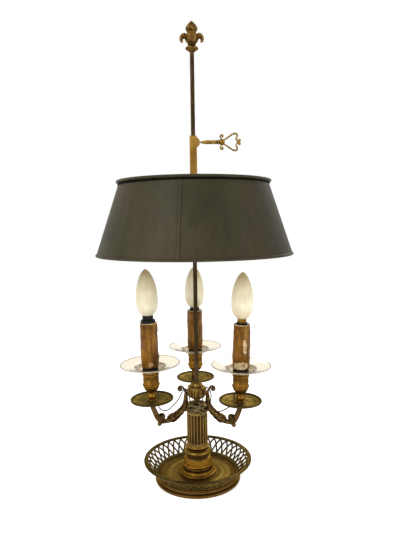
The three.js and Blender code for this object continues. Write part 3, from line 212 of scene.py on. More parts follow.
def add_camera():
    data = bpy.data.cameras.new("camera")
    data.sensor_width = 36
    data.lens = CAMERA_LENS
    camera = in_scene("camera", data)
    ahead = Vector((sin(CAMERA_YAW) * cos(CAMERA_PITCH), cos(CAMERA_YAW) * cos(CAMERA_PITCH),
        -sin(CAMERA_PITCH)))
    level = Vector((cos(CAMERA_YAW), -sin(CAMERA_YAW), 0))
    above = level.cross(ahead)
    right = cos(CAMERA_ROLL) * level + sin(CAMERA_ROLL) * above
    up = -sin(CAMERA_ROLL) * level + cos(CAMERA_ROLL) * above
    axes = Matrix((right, up, -ahead)).transposed().to_4x4()
    spot = Vector((0, -CAMERA_DISTANCE, CAMERA_HEIGHT)) * MM
    camera.matrix_world = Matrix.Translation(spot) @ axes
    bpy.context.scene.camera = camera


def add_area_light(name, place, target, size, watts):
    data = bpy.data.lights.new(name, "AREA")
    data.shape = "RECTANGLE"
    data.size, data.size_y = size
    data.energy = watts
    light = in_scene(name, data)
    light.location = place
    light.rotation_euler = (Vector(target) - Vector(place)).to_track_quat("-Z", "Y").to_euler()


class Nodes:
    """Short ways to add shader nodes. A colour of three numbers is one as a screen shows it."""

    def __init__(self, tree):
        self.tree = tree

    def node(self, kind, settings=None, **inputs):
        made = self.tree.nodes.new(kind)
        for key, value in (settings or {}).items():
            setattr(made, key, value)
        for key, value in inputs.items():
            self.feed(made.inputs[key.replace("_", " ")], value)
        return made

    def feed(self, socket, value):
        if isinstance(value, bpy.types.NodeSocket):
            self.tree.links.new(value, socket)
        elif socket.type == "RGBA" and len(value) == 3:
            socket.default_value = srgb(*value)
        else:
            socket.default_value = value

    def maths(self, operation, first, second=0.0):
        made = self.node("ShaderNodeMath", {"operation": operation})
        self.feed(made.inputs[0], first)
        self.feed(made.inputs[1], second)
        return made.outputs[0]


class Finish(Nodes):
    """A material that is kept in FINISHES, and the textures that it is made of."""

    def __init__(self, name, **constants):
        self.material = FINISHES[name] = bpy.data.materials.new(name)
        self.material.use_nodes = True
        super().__init__(self.material.node_tree)
        self.shader = self.tree.nodes["Principled BSDF"]
        self.where = self.node("ShaderNodeTexCoord").outputs["Object"]
        for socket, value in constants.items():
            self.shader.inputs[socket.replace("_", " ")].default_value = value

    def along(self, axis):
        return self.node("ShaderNodeSeparateXYZ", Vector=self.where).outputs[axis]

    def length(self, vector):
        made = self.node("ShaderNodeVectorMath", {"operation": "LENGTH"})
        self.feed(made.inputs[0], vector)
        return made.outputs["Value"]

    def noise(self, scale, detail=4, roughness=0.55, stretch=(1, 1, 1)):
        """Noise from 0 to 1. The scale is in cells for each metre."""
        spread = self.node("ShaderNodeMapping", Vector=self.where, Scale=stretch)
        made = self.node("ShaderNodeTexNoise", Vector=spread.outputs[0], Scale=scale, Detail=detail,
            Roughness=roughness)
        return made.outputs["Fac"]

    def ramp(self, value, *stops):
        """Turns a value into a colour, or a grey where the stops hold plain numbers."""
        made = self.node("ShaderNodeValToRGB", Fac=value)
        line = made.color_ramp
        while len(line.elements) < len(stops):
            line.elements.new(0.5)
        for element, (place, colour) in zip(line.elements, stops):
            element.position = place
            element.color = srgb(*colour) if hasattr(colour, "__len__") else (colour,) * 3 + (1,)
        return made.outputs["Color"]

    def mix(self, share, first, second, mode="MIX"):
        made = self.node("ShaderNodeMix", {"data_type": "RGBA", "blend_type": mode})
        self.feed(made.inputs["Factor"], share)
        self.feed(made.inputs[6], first)
        self.feed(made.inputs[7], second)
        return made.outputs[2]

    def times(self, colour, factor):
        return self.mix(1.0, colour, factor, "MULTIPLY")

    def dapple(self, colour, grain, *stops):
        """Multiplies a colour by noise. The stops turn the noise into the factor."""
        return self.times(colour, self.ramp(self.noise(*grain), *stops))

    def edges(self, low, high):
        """White on convex edges and black in hollows."""
        bend = self.node("ShaderNodeNewGeometry").outputs["Pointiness"]
        return self.ramp(bend, (low, 0.0), (high, 1.0))

    def spot(self, centre, size):
        """1 inside an oval at a place in millimetres, 0 outside, with a ragged edge."""
        near = self.node("ShaderNodeMapping", {"vector_type": "TEXTURE"}, Vector=self.where,
            Location=[value * MM for value in centre], Scale=[value * MM for value in size])
        away = self.length(near.outputs[0])
        ragged = self.maths("MULTIPLY", self.maths("SUBTRACT", self.noise(300, 3), 0.5), 1.1)
        return self.ramp(self.maths("ADD", away, ragged), (0.85, 1.0), (1.0, 0.0))

    def bump(self, height, strength, distance, under=None):
        made = self.node("ShaderNodeBump", Height=height, Strength=strength, Distance=distance * MM)
        if under is not None:
            self.tree.links.new(under, made.inputs["Normal"])
        return made.outputs["Normal"]

    def finish(self, colour, roughness, normal):
        for socket, value in (("Base Color", colour), ("Roughness", roughness), ("Normal", normal)):
            self.feed(self.shader.inputs[socket], value)


def aged_metal(name, light, middle, dark, grime_and_shade, polish=(0.3, 0.52), blotches=70, stretch=(1, 1, 1),
        rings=None, levels=None, hollow=(0.455, 0.5)):
    """Old metal: blotched patina, dirt and painted shade in its hollows, rubbed edges and fine pitting.
    """
    made = Finish(name, Metallic=0.92, Specular_Tint=(0.82, 0.68, 0.42, 1))
    cloud = made.noise(blotches, 6, 0.62, stretch)
    colour = made.ramp(cloud, (0.34, dark), (0.5, middle), (0.66, light))
    if rings:
        plan = made.node("ShaderNodeMapping", Vector=made.where, Scale=(1, 1, 0))
        away = made.length(plan.outputs[0])
        tone = made.ramp(made.maths("MULTIPLY", away, 10), *rings)
        colour = made.mix(0.75, colour, tone)
    if levels:
        low, high, *stops = levels
        share = made.node("ShaderNodeMapRange", Value=made.along(2), From_Min=low * MM,
            From_Max=high * MM)
        colour = made.mix(0.8, colour, made.ramp(share.outputs[0], *stops))
    colour = made.dapple(colour, (1300, 3), (0.3, 0.5), (0.45, 1.0))
    colour = made.mix(0.55, colour, made.dapple(colour, (190, 5, 0.7), (0.4, 0.55), (0.56, 1.0)))
    # Darkens the hollows: dirt, and painted shade where the hollows lie in shadow.
    colour = made.mix(made.edges(*hollow), grime_and_shade, colour)
    rubbed = made.maths("MULTIPLY", made.edges(0.512, 0.58), 0.75)
    colour = made.mix(rubbed, colour, light)
    gloss = made.node("ShaderNodeMapRange", Value=cloud, To_Min=polish[1], To_Max=polish[0])
    normal = made.bump(made.noise(420, 5, 0.6), 0.4, 0.25)
    normal = made.bump(made.noise(2600, 3), 0.25, 0.06, normal)
    made.finish(colour, gloss.outputs[0], normal)


def shade_paint(name, rub_and_highlight):
    """Dark olive paint on sheet metal, browner in patches, darker towards +X as painted shade, and rubbed
    at the beads with a painted highlight there.
    """
    made = Finish(name, Specular_IOR_Level=0.15)
    slow = made.noise(9, 4, 0.6, (1, 1, 0.6))
    colour = made.ramp(slow, (0.36, (49, 47, 29)), (0.5, (58, 53, 34)), (0.62, (65, 55, 35)))
    # Painted shade: the paint darkens from -X towards +X.
    side = made.node("ShaderNodeMapRange", Value=made.along(0), From_Min=-160 * MM, From_Max=160 * MM)
    painted_side_shade = made.ramp(side.outputs[0], (0.05, 1.0), (0.25, 0.96), (0.4, 0.9), (0.75, 0.84), (0.9, 0.7),
        (1.0, 0.9))
    colour = made.times(colour, painted_side_shade)
    colour = made.dapple(colour, (60, 5, 0.6, (1, 1, 0.12)), (0.35, 0.84), (0.6, 1.04))
    colour = made.dapple(colour, (900, 4), (0.3, 0.82), (0.6, 1.05))
    colour = made.mix(0.6, colour, made.dapple(colour, (260, 2, 0.4), (0.24, (36, 33, 24)),
        (0.3, (255, 255, 255))))
    # Paler beads and lip: wear with a painted highlight.
    rubbed = made.maths("MULTIPLY", made.edges(0.53, 0.62), rub_and_highlight)
    colour = made.mix(rubbed, colour, (108, 102, 74))
    normal = made.bump(made.noise(35, 3), 0.25, 0.5)
    normal = made.bump(made.noise(700, 4), 0.25, 0.1, normal)
    made.finish(colour, 0.52, normal)


def clear_glass(name, thin, thick, clearness, roughness):
    """Old glass, a little cream, darker where its edge is looked through."""
    made = Finish(name, Transmission_Weight=clearness, IOR=1.3)
    cloudy = made.ramp(made.noise(60, 4), (0.35, 0.94), (0.65, 1.0))
    colour = made.times(made.mix(made.edges(0.52, 0.57), thin, thick), cloudy)
    made.finish(colour, roughness, made.bump(made.noise(60, 2), 0.05, 0.1))


def frosted_glass(name, level=1):
    """Frosted bulb glass: cream, darker towards the base and the tip, with a few dark specks low down. A
    level under 1 darkens all of it, as painted shade.
    """
    made = Finish(name, Specular_IOR_Level=0.35)
    height = made.along(2)
    drift = made.maths("MULTIPLY", made.maths("SUBTRACT", made.noise(26, 3), 0.5), 0.05)
    up = made.maths("MULTIPLY", made.maths("SUBTRACT", made.maths("ADD", height, drift), 0.28), 10)
    tones = [(0.05, 202, 188, 150), (0.3, 237, 228, 198), (0.55, 227, 216, 183), (0.85, 184, 165, 118)]
    tone = made.ramp(up, *[(at, [level * part for part in rgb]) for at, *rgb in tones])
    tone = made.dapple(tone, (120, 4, 0.6, (1, 1, 0.3)), (0.35, 0.9), (0.6, 1.02))
    tone = made.dapple(tone, (240, 1, 0.3), (0.2, (96, 84, 58)), (0.235, (255, 255, 255)))
    made.finish(tone, 0.4, made.bump(made.noise(1500, 2), 0.15, 0.05))


def wax(name, *bare):
    """Amber-brown wax with pale streaks and dark hollows, chipped to its pale core at spots."""
    made = Finish(name, Specular_IOR_Level=0.15)
    colour = made.ramp(made.noise(130, 6, 0.62, (1, 1, 0.2)), (0.3, (58, 30, 3)), (0.45, (107, 67, 10)),
        (0.57, (131, 87, 18)), (0.74, (166, 124, 54)))
    colour = made.dapple(colour, (70, 4), (0.36, 0.6), (0.62, 1.08))
    colour = made.mix(made.edges(0.46, 0.5), (50, 26, 5), colour)
    pale = made.maths("MULTIPLY", made.edges(0.54, 0.62), 0.5)
    colour = made.mix(pale, colour, (196, 170, 118))
    chips = made.ramp(made.noise(420, 4, 0.6), (0.68, 0.0), (0.72, 1.0))
    colour = made.mix(made.maths("MULTIPLY", chips, 0.7), colour, (206, 188, 148))
    core = made.ramp(made.noise(150, 3, 0.5), (0.36, (150, 108, 56)), (0.47, (188, 164, 122)),
        (0.62, (214, 198, 166)))
    for centre, size in bare:
        colour = made.mix(made.spot(centre, size), colour, core)
    normal = made.bump(made.noise(300, 4, 0.6, (1, 1, 0.4)), 0.45, 0.3)
    made.finish(colour, 0.42, normal)


def plain_finish(name, colour, other, roughness, worn=0.12, shine=0.5):
    """One colour in two shades, with a fine grain and paler edges."""
    made = Finish(name, Specular_IOR_Level=shine)
    tone = made.ramp(made.noise(60, 5), (0.35, other), (0.65, colour))
    rubbed = made.maths("MULTIPLY", made.edges(0.54, 0.62), worn)
    tone = made.mix(rubbed, tone, (150, 142, 122))
    made.finish(tone, roughness, made.bump(made.noise(900, 3), 0.2, 0.1))


# Colour bands up the column foot; the dark ones lie in its grooves and are painted shade.
GOLD, DARK_LINE, DRUM = (146, 108, 44), (38, 22, 8), (170, 121, 36)
GREY_GROOVE, TORUS, RED_GROOVE = (72, 56, 40), (122, 98, 40), (50, 26, 10)
FOOT_BANDS = [
    11.6, 61.6, (0, GOLD), (0.055, GOLD), (0.07, DARK_LINE), (0.09, DRUM), (0.13, DRUM),
    (0.15, DARK_LINE), (0.205, DARK_LINE), (0.225, GOLD), (0.25, DARK_LINE), (0.28, DRUM),
    (0.53, DRUM), (0.56, GOLD), (0.59, GREY_GROOVE), (0.65, GREY_GROOVE), (0.69, TORUS),
    (0.81, TORUS), (0.85, RED_GROOVE), (0.92, RED_GROOVE), (0.94, GOLD), (1, GOLD),
]

aged_metal("brass", (128, 100, 54), (98, 74, 36), (66, 48, 22), (34, 22, 10))
# On the dish, the rings darken the floor next to the column foot and the gallery wall, painted shade,
# with a paler band between.
aged_metal("dish", (118, 92, 44), (92, 66, 28), (66, 44, 17), (30, 19, 8), rings=[
    (0.3, (60, 43, 20)), (0.38, (78, 60, 28)), (0.44, (116, 95, 47)), (0.54, (105, 82, 40)),
    (0.6, (72, 54, 26)), (0.68, (56, 39, 18)), (0.702, (38, 24, 10)), (0.708, (92, 66, 27)),
    (0.72, (118, 86, 38)), (0.732, (104, 74, 30))])
aged_metal("gallery", (100, 83, 45), (74, 59, 30), (48, 37, 18), (26, 19, 9), (0.36, 0.56))
aged_metal("dark_rim", (88, 74, 42), (64, 52, 28), (42, 33, 17), (24, 18, 9), (0.34, 0.54))
aged_metal("shaft", (136, 110, 58), (108, 83, 40), (74, 52, 24), (40, 18, 6), stretch=(1, 1, 0.3),
    rings=[(0.162, (34, 14, 4)), (0.172, (74, 46, 18)), (0.1765, (134, 110, 60))])
aged_metal("column", (134, 108, 58), (108, 83, 40), (74, 52, 24), (54, 26, 10), stretch=(1, 1, 0.35))
aged_metal("foot", (144, 108, 46), (112, 80, 28), (78, 52, 16), (36, 22, 9), (0.26, 0.45),
    stretch=(0.5, 0.5, 2), levels=FOOT_BANDS)
aged_metal("vase", (158, 128, 70), (126, 96, 48), (86, 58, 26), (40, 18, 6), (0.28, 0.48), 110,
    hollow=(0.472, 0.499))
aged_metal("finial", (142, 106, 54), (98, 70, 33), (52, 36, 17), (24, 17, 9), blotches=110,
    hollow=(0.465, 0.499))
aged_metal("guide", (166, 128, 60), (146, 111, 48), (112, 82, 32), (44, 30, 12), (0.26, 0.46), 80,
    (1, 1, 0.3))
aged_metal("key", (168, 132, 58), (128, 98, 38), (84, 62, 24), (32, 24, 12), (0.26, 0.46), 150)
aged_metal("bright_brass", (150, 112, 50), (116, 84, 34), (82, 56, 20), (40, 25, 10), (0.26, 0.45))
aged_metal("cup", (158, 115, 42), (130, 91, 31), (100, 67, 20), (44, 26, 8), (0.28, 0.46), 60,
    (1, 1, 0.5), hollow=(0.455, 0.497))
aged_metal("pan", (126, 106, 60), (105, 88, 48), (80, 65, 33), (40, 31, 16), (0.36, 0.58))
aged_metal("olive_brass", (140, 122, 80), (104, 88, 52), (76, 62, 34), (40, 32, 18), (0.24, 0.42))
aged_metal("bronze", (112, 84, 46), (70, 50, 26), (40, 28, 14), (18, 12, 7), (0.32, 0.52), 130,
    hollow=(0.46, 0.499))
aged_metal("dark_rod", (98, 80, 54), (54, 42, 26), (33, 25, 15), (22, 17, 11), (0.32, 0.52), 160,
    (1, 1, 0.2))
aged_metal("dark_steel", (100, 92, 80), (72, 64, 54), (46, 40, 34), (26, 22, 18))
shade_paint("shade_paint", 0.5)
shade_paint("shade_seam", 0.12)
plain_finish("inner_coat", (222, 216, 200), (200, 192, 172), 0.6)
clear_glass("clear_glass", (219, 208, 186), (150, 138, 116), 1.0, 0.02)
clear_glass("glass_bowl", (200, 180, 146), (180, 158, 122), 0.6, 0.15)
frosted_glass("frosted_glass")
# A darker copy of the bulb glass for the left bulb: painted shade.
frosted_glass("shaded_frosted_glass", 0.92)
wax("wax")
wax("wax_left", ((-72.5, -53, 216.5), (4, 7, 4.4)))
wax("wax_right", ((71, -57, 212.5), (15, 13, 7)), ((77.3, -55, 244), (3.6, 10, 13)))
wax("wax_back", ((-9, 60, 232), (3, 8, 5)))
plain_finish("bakelite", (17, 17, 13), (8, 8, 6), 0.4, 0.03, 0.12)
plain_finish("ceramic", (216, 210, 194), (190, 182, 164), 0.4)
plain_finish("insulation", (74, 66, 45), (46, 40, 26), 0.6, 0.05, 0.1)
plain_finish("dusty_wire", (128, 115, 82), (80, 69, 45), 0.6, 0.3, 0.15)
plain_finish("glass_edge", (176, 163, 138), (150, 136, 110), 0.2)
plain_finish("wax_rim", (206, 184, 142), (168, 140, 92), 0.5, shine=0.2)
plain_finish("dark_seam", (46, 40, 28), (36, 31, 22), 0.6, 0, 0.1)
# Black for the painted shadow under the shade's lip.
plain_finish("painted_lip_shadow", (15, 12, 8), (9, 7, 4), 0.8, 0, 0.05)


def outline(*corners, steps=7):
    """Points of a turned outline from corners [radius, height]. A third number bulges the stretch
    that ends there, to the right of its direction: 1 is a half circle."""
    points = [Vector(corners[0][:2])]
    for corner in corners[1:]:
        end = Vector(corner[:2])
        if len(corner) == 2:
            points.append(end)
            continue
        start = points[-1]
        along = (end - start).normalized()
        aside = Vector((along.y, -along.x))
        turn = 4 * atan(corner[2])
        radius = (end - start).length / (2 * sin(turn / 2))
        middle = (start + end) / 2 - aside * radius * cos(turn / 2)
        for step in range(1, steps + 1):
            angle = turn * (step / steps - 0.5)
            points.append(middle + radius * (aside * cos(angle) + along * sin(angle)))
    return points


def closed(*corners):
    """An outline that ends where it starts."""
    return outline(*corners, corners[0])


def eased(points, size):
    """Takes the sharpness off the corners of an outline."""
    soft = [points[0]]
    for before, corner, after in zip(points, points[1:], points[2:]):
        back, ahead = before - corner, after - corner
        if back.length > 0 and ahead.length > 0 and back.angle(-ahead) > EASED_ANGLE:
            cut = min(size, back.length / 3, ahead.length / 3)
            soft += [corner + back.normalized() * cut, corner + ahead.normalized() * cut]
        else:
            soft.append(corner)
    return [*soft, points[-1]]


def divided(points, step):
    """Splits the long stretches of a path or outline."""
    fine = [points[0]]
    for start, end in zip(points, points[1:]):
        count = max(1, ceil((end - start).length / step))
        fine += [start.lerp(end, i / count) for i in range(1, count + 1)]
    return fine


def skin(rings, closed=False):
    """Faces over rings of equal counts. Open skins get a flat face at both ends."""
    count = len(rings[0])
    pairs = list(zip(range(len(rings)), [*range(1, len(rings)), 0]))
    faces = [(a * count + k, a * count + (k + 1) % count, b * count + (k + 1) % count, b * count + k)
        for a, b in (pairs if closed else pairs[:-1]) for k in range(count)]
    if not closed:
        faces.append(tuple(reversed(range(count))))
        faces.append(tuple(range((len(rings) - 1) * count, len(rings) * count)))
    return [point for ring in rings for point in ring], faces


def angles(count):
    return [k / count * TURN for k in range(count)]


def polar(radius, angle, height):
    return Vector((radius * cos(angle), radius * sin(angle), height))


def lathe(points, shape=None, sides=ROUND):
    """Revolves an outline. The shape changes [radius, height] by the angle."""
    closed = (points[0] - points[-1]).length < TOUCHING
    rings = []
    for radius, height in points[:-1] if closed else points:
        ring = []
        for angle in angles(sides):
            r, z = shape(angle, radius, height) if shape else (radius, height)
            ring.append(polar(r, angle, z))
        rings.append(ring)
    return skin(rings, closed)


def smooth_path(points, steps):
    """Points on a Catmull-Rom curve through the given points."""
    points = [Vector(point) for point in points]
    ends = [2 * points[0] - points[1], *points, 2 * points[-1] - points[-2]]
    path = []
    for before, start, end, after in zip(ends, ends[1:], ends[2:], ends[3:]):
        for step in range(steps):
            t = step / steps
            path.append(0.5 * (2 * start + (end - before) * t + (2 * before - 5 * start + 4 * end
                - after) * t ** 2 + (3 * start - before - 3 * end + after) * t ** 3))
    return [*path, points[-1]]


def sweep(path, section, across=None):
    """A skin along a path. The section gives [normal, aside] offsets for each share of the way."""
    rings = []
    normal = None
    for i, point in enumerate(path):
        along = (path[min(i + 1, len(path) - 1)] - path[max(i - 1, 0)]).normalized()
        if across is not None:
            normal = across.cross(along)
        elif normal is None:
            normal = along.orthogonal()
        normal = (normal - along * normal.dot(along)).normalized()
        aside = along.cross(normal)
        rings.append([point + u * normal + v * aside for u, v in section(i / (len(path) - 1))])
    return skin(rings)


def oval(high, wide, sides):
    return [(high * cos(a), wide * sin(a)) for a in angles(sides)]


def circle(radius, sides=WIRE_SIDES):
    return oval(radius, radius, sides)


def in_plane(points, steps=8):
    """A smooth path in the XZ plane through [x, z] points."""
    return smooth_path([(x, 0, z) for x, z in points], steps)


def table(rows, share):
    """The row of a table at a share of its length, with the values in between worked out."""
    at = share * (len(rows) - 1)
    low = min(int(at), len(rows) - 2)
    return [a + (b - a) * (at - low) for a, b in zip(rows[low], rows[low + 1])]


def shifted(x, y, z):
    return Matrix.Translation((x, y, z))


def turned(angle, axis="Z"):
    return Matrix.Rotation(angle, 4, axis)


LYING = turned(pi / 2, "Y")       # lays what stands on Z along X


def moved(mesh, matrix):
    return [matrix @ vertex for vertex in mesh[0]], mesh[1]


def merged(*meshes):
    vertices, faces = [], []
    for points, polygons in meshes:
        faces += [tuple(index + len(vertices) for index in polygon) for polygon in polygons]
        vertices += points
    return vertices, faces


def ball(radius, centre, squash=(1, 1, 1), rows=12):
    half = [Vector((radius * sin(a), -radius * cos(a)))
            for a in (pi * i / rows for i in range(rows + 1))]
    return moved(lathe(half, None, 2 * rows), shifted(*centre) @ Matrix.Diagonal((*squash, 1)))


def soft_square(half, corner, steps=4):
    """A square loop with rounded corners."""
    inner = half - corner
    return [(inner * sx + corner * cos(a), inner * sy + corner * sin(a))
            for q, (sx, sy) in enumerate([(1, 1), (-1, 1), (-1, -1), (1, -1)])
            for a in (pi / 2 * (q + i / steps) for i in range(steps + 1))]


def flat(loop, height):
    return [Vector((x, y, height)) for x, y in loop]


def post(loop, levels):
    """A straight post of one loop at several heights."""
    return skin([flat(loop, z) for z in levels])


def add_piece(name, mesh, slot, node=None, finish=None, body="stand", at=None, crease=32):
    """A mesh in millimetres on a body, in place of a node where one is named."""
    vertices, faces = moved(mesh, at) if at else mesh
    data = bpy.data.meshes.new(name)
    data.from_pydata([tuple(vertex * MM) for vertex in vertices], [], faces)
    tidy = bmesh.new()
    tidy.from_mesh(data)
    bmesh.ops.remove_doubles(tidy, verts=tidy.verts, dist=TOUCHING * MM)
    bmesh.ops.dissolve_degenerate(tidy, edges=tidy.edges, dist=TOUCHING * MM / 10)
    bmesh.ops.recalc_face_normals(tidy, faces=tidy.faces)
    tidy.to_mesh(data)
    tidy.free()
    data.shade_smooth()
    data.set_sharp_from_angle(angle=radians(crease))
    data.materials.append(FINISHES[finish or slot])
    piece = in_scene(name, data)
    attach(piece, body)
    if node:
        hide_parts(node)
    return piece


def add_turned(name, slot, node, finish, ease, *corners, sides=ROUND):
    """A turned piece of the stand, with the corners of its outline eased."""
    add_piece(name, lathe(eased(closed(*corners), ease), None, sides), slot, node, finish)


def add_wire(name):
    """One feeder wire as a tube round its route."""
    path = smooth_path(WIRE_ROUTES[name], 6)
    tube = sweep(path, lambda share: circle(WIRE_DIAMETER / 2))
    piece = add_piece(f"wire_{name}", tube, "insulation", f"feeder_wire_{name}")


def add_binding():
    """The wires' slack, wound and bent over the front of the collar."""
    path = smooth_path(BINDING, 8)
    add_piece("wire_binding", sweep(path, lambda share: circle(WIRE_DIAMETER / 2)), "insulation",
        finish="dusty_wire")


def add_base():
    """The moulded plinth with its dished floor, the pierced gallery and its rim."""
    add_turned("plinth_fine", "brass", "base_plinth", "dish", 0.2,
        (BORE, 6.5), (16, 6.5), (16, 8.3), (63.4, 8.3), (63.4, 0), (70.8, 0), (72.9, 1.1, 0.3),
        (73.4, 3, 0.1), (72.8, 4.7, 0.25), (70.6, 5.3), (70.1, 5.9, -0.3), (70.1, 6.9), (70.9, 7.3),
        (71.8, 8.5, 0.3), (71.5, 9.9, 0.2), (70.9, 10.3), (70.8, 12), (70.3, 12.5, 0.3),
        (66.2, 12.5), (65.4, 12.2, 0.2), (64.8, 11.4, -0.2), (64, 11.3), (58.3, 11.3), (58, 11.1),
        (57.6, 11.1), (57.3, 11.3), (46.2, 11.3), (45.8, 11.1), (45.4, 11.1), (45, 11.3),
        (35.6, 11.3), (35.2, 11.1), (34.8, 11.1), (34.4, 11.3), (BORE, 11.3), sides=160)

    foot, head = Vector(GALLERY_FOOT), Vector(GALLERY_HEAD)
    up = (head - foot).normalized()
    out = Vector((up.y, -up.x))
    bay = TURN / GALLERY_BAYS

    def on_strip(bays, climb, lift):
        place = foot + up * climb + out * lift
        return polar(place.x, bays * bay, place.y)

    ribs = []
    for k in range(GALLERY_BAYS):
        path = []
        for step in range(ARCH_STEPS + 1):
            u = 2 * step / ARCH_STEPS - 1
            climb = ARCH_FOOT + ARCH_RISE * (1 - abs(u) ** ARCH_POWER)
            path.append((k + 1 + u, climb, WEAVE * sin(-pi * u)))
        rings = []
        for i, (bays, climb, lift) in enumerate(path):
            before, after = path[max(i - 1, 0)], path[min(i + 1, ARCH_STEPS)]
            here = on_strip(bays, climb, lift)
            along = (on_strip(*after) - on_strip(*before)).normalized()
            face = (on_strip(bays, climb, lift + 1) - here).normalized()
            aside = along.cross(face)
            rings.append([here + x * RIB_WIDTH / 2 * aside + y * RIB_DEPTH / 2 * face
                for x, y in RIB_SECTION])
        ribs.append(skin(rings))
    lower = closed((69.8, 12.8), (70.9, 14), (71.6, 15, 0.4), (70.4, 15.2), (69, 14.2), (68, 12.8))
    upper = closed((87.9, 33), (89, 34.4), (87, 34.4), (86.1, 33.4))
    studs = [ball(1.15, on_strip(k, 3.1, 0.4), rows=6) for k in range(GALLERY_BAYS)]
    add_piece("gallery_fine", merged(lathe(lower, None, 168), lathe(upper, None, 168), *ribs, *studs),
        "brass", "gallery", finish="gallery")
    add_turned("gallery_rim_fine", "brass", "gallery_rim", "dark_rim", 0.15,
        (85.8, 34.7), (92, 34.7), (92.6, 35.4, 0.4), (92.1, 36.3, 0.4), (91.2, 36.5),
        (90.6, 36.2, -0.3), (90, 36.5), (86.4, 36.5), (85.6, 35.9, 0.3), sides=168)


def add_column():
    """The moulded foot, the fluted shaft and the collar under the arms."""
    add_turned("foot_fine", "bright_brass", "column_foot", "foot", 0.15,
        (BORE, 11.6), (31.4, 11.6), (32, 12.3, 0.4), (32, 13.7), (31.4, 14.6, 0.3),
        (28.6, 15.2, -0.1), (28, 16, 0.3), (27.8, 18), (27.2, 18.6), (25.8, 19.4, -0.3),
        (25.2, 20.8), (25.2, 22.2), (25.7, 22.8, 0.4), (25.7, 23.6, 0.4), (25, 24.2), (24.8, 26),
        (25.3, 26.6, 0.4), (25.2, 27.5, 0.4), (24.4, 28), (23.7, 33, -0.02), (22.7, 38.6, -0.02),
        (22.1, 39.9, 0.3), (19.6, 40.6), (19.1, 41.4, -0.3), (19.1, 43.6), (19.6, 44.4, -0.3),
        (21.4, 45.2), (22.3, 47.4, 0.3), (22.2, 50.8, 0.3), (20.8, 52.6, 0.2), (18.8, 53.4),
        (18.3, 54.2, -0.3), (18.3, 56.8), (18.8, 57.4, -0.2), (19.8, 58, 0.3), (19.9, 59.4, 0.4),
        (18.9, 60.2, 0.2), (18.5, 61.6), (SHAFT_BORE, 61.6), (SHAFT_BORE, 19.6), (BORE, 19.6))

    low, high = (end + side * (FLUTE_MARGIN + FLUTE_HALF_WIDTH) for end, side in zip(SHAFT_ENDS, (1, -1)))

    def fluted(angle, radius, height):
        if radius < SHAFT_RADIUS - 1:
            return radius, height
        pitch = TURN / FLUTES
        beside = ((angle / pitch) % 1 - 0.5) * pitch * radius
        past = max(low - height, height - high, 0)
        near = hypot(beside, past) / FLUTE_HALF_WIDTH
        return radius - FLUTE_DEPTH * sqrt(max(1 - near ** 2, 0)), height

    bottom, top = SHAFT_ENDS
    ends = [bottom + FLUTE_MARGIN * i / 2 for i in range(3)]
    ends += [bottom + FLUTE_MARGIN + FLUTE_HALF_WIDTH * i / 5 for i in range(1, 6)]
    levels = sorted({*ends, *(bottom + top - z for z in ends), (bottom + top) / 2,
        *(low + (high - low) * i / 8 for i in range(9))})
    wall = [Vector((SHAFT_RADIUS, z)) for z in levels]
    tube = [Vector((SHAFT_BORE, bottom)), *wall, Vector((SHAFT_BORE, top)), Vector((SHAFT_BORE, bottom))]
    add_piece("shaft_fine", lathe(tube, fluted, FLUTES * 22), "brass", "column_shaft", finish="shaft",
        crease=50)

    add_turned("collar_fine", "brass", "column_collar", "column", 0.15,
        (SHAFT_BORE, 120.2), (18.2, 120.2), (18.8, 121, 0.5), (18.2, 121.9, 0.5), (17.9, 122.4),
        (17.9, 129.2), (18.3, 129.7), (18.8, 130.6, 0.5), (18.3, 131.5, 0.5), (17.7, 132.2),
        (BORE, 132.2), (BORE, 129.2), (SHAFT_BORE, 129.2))


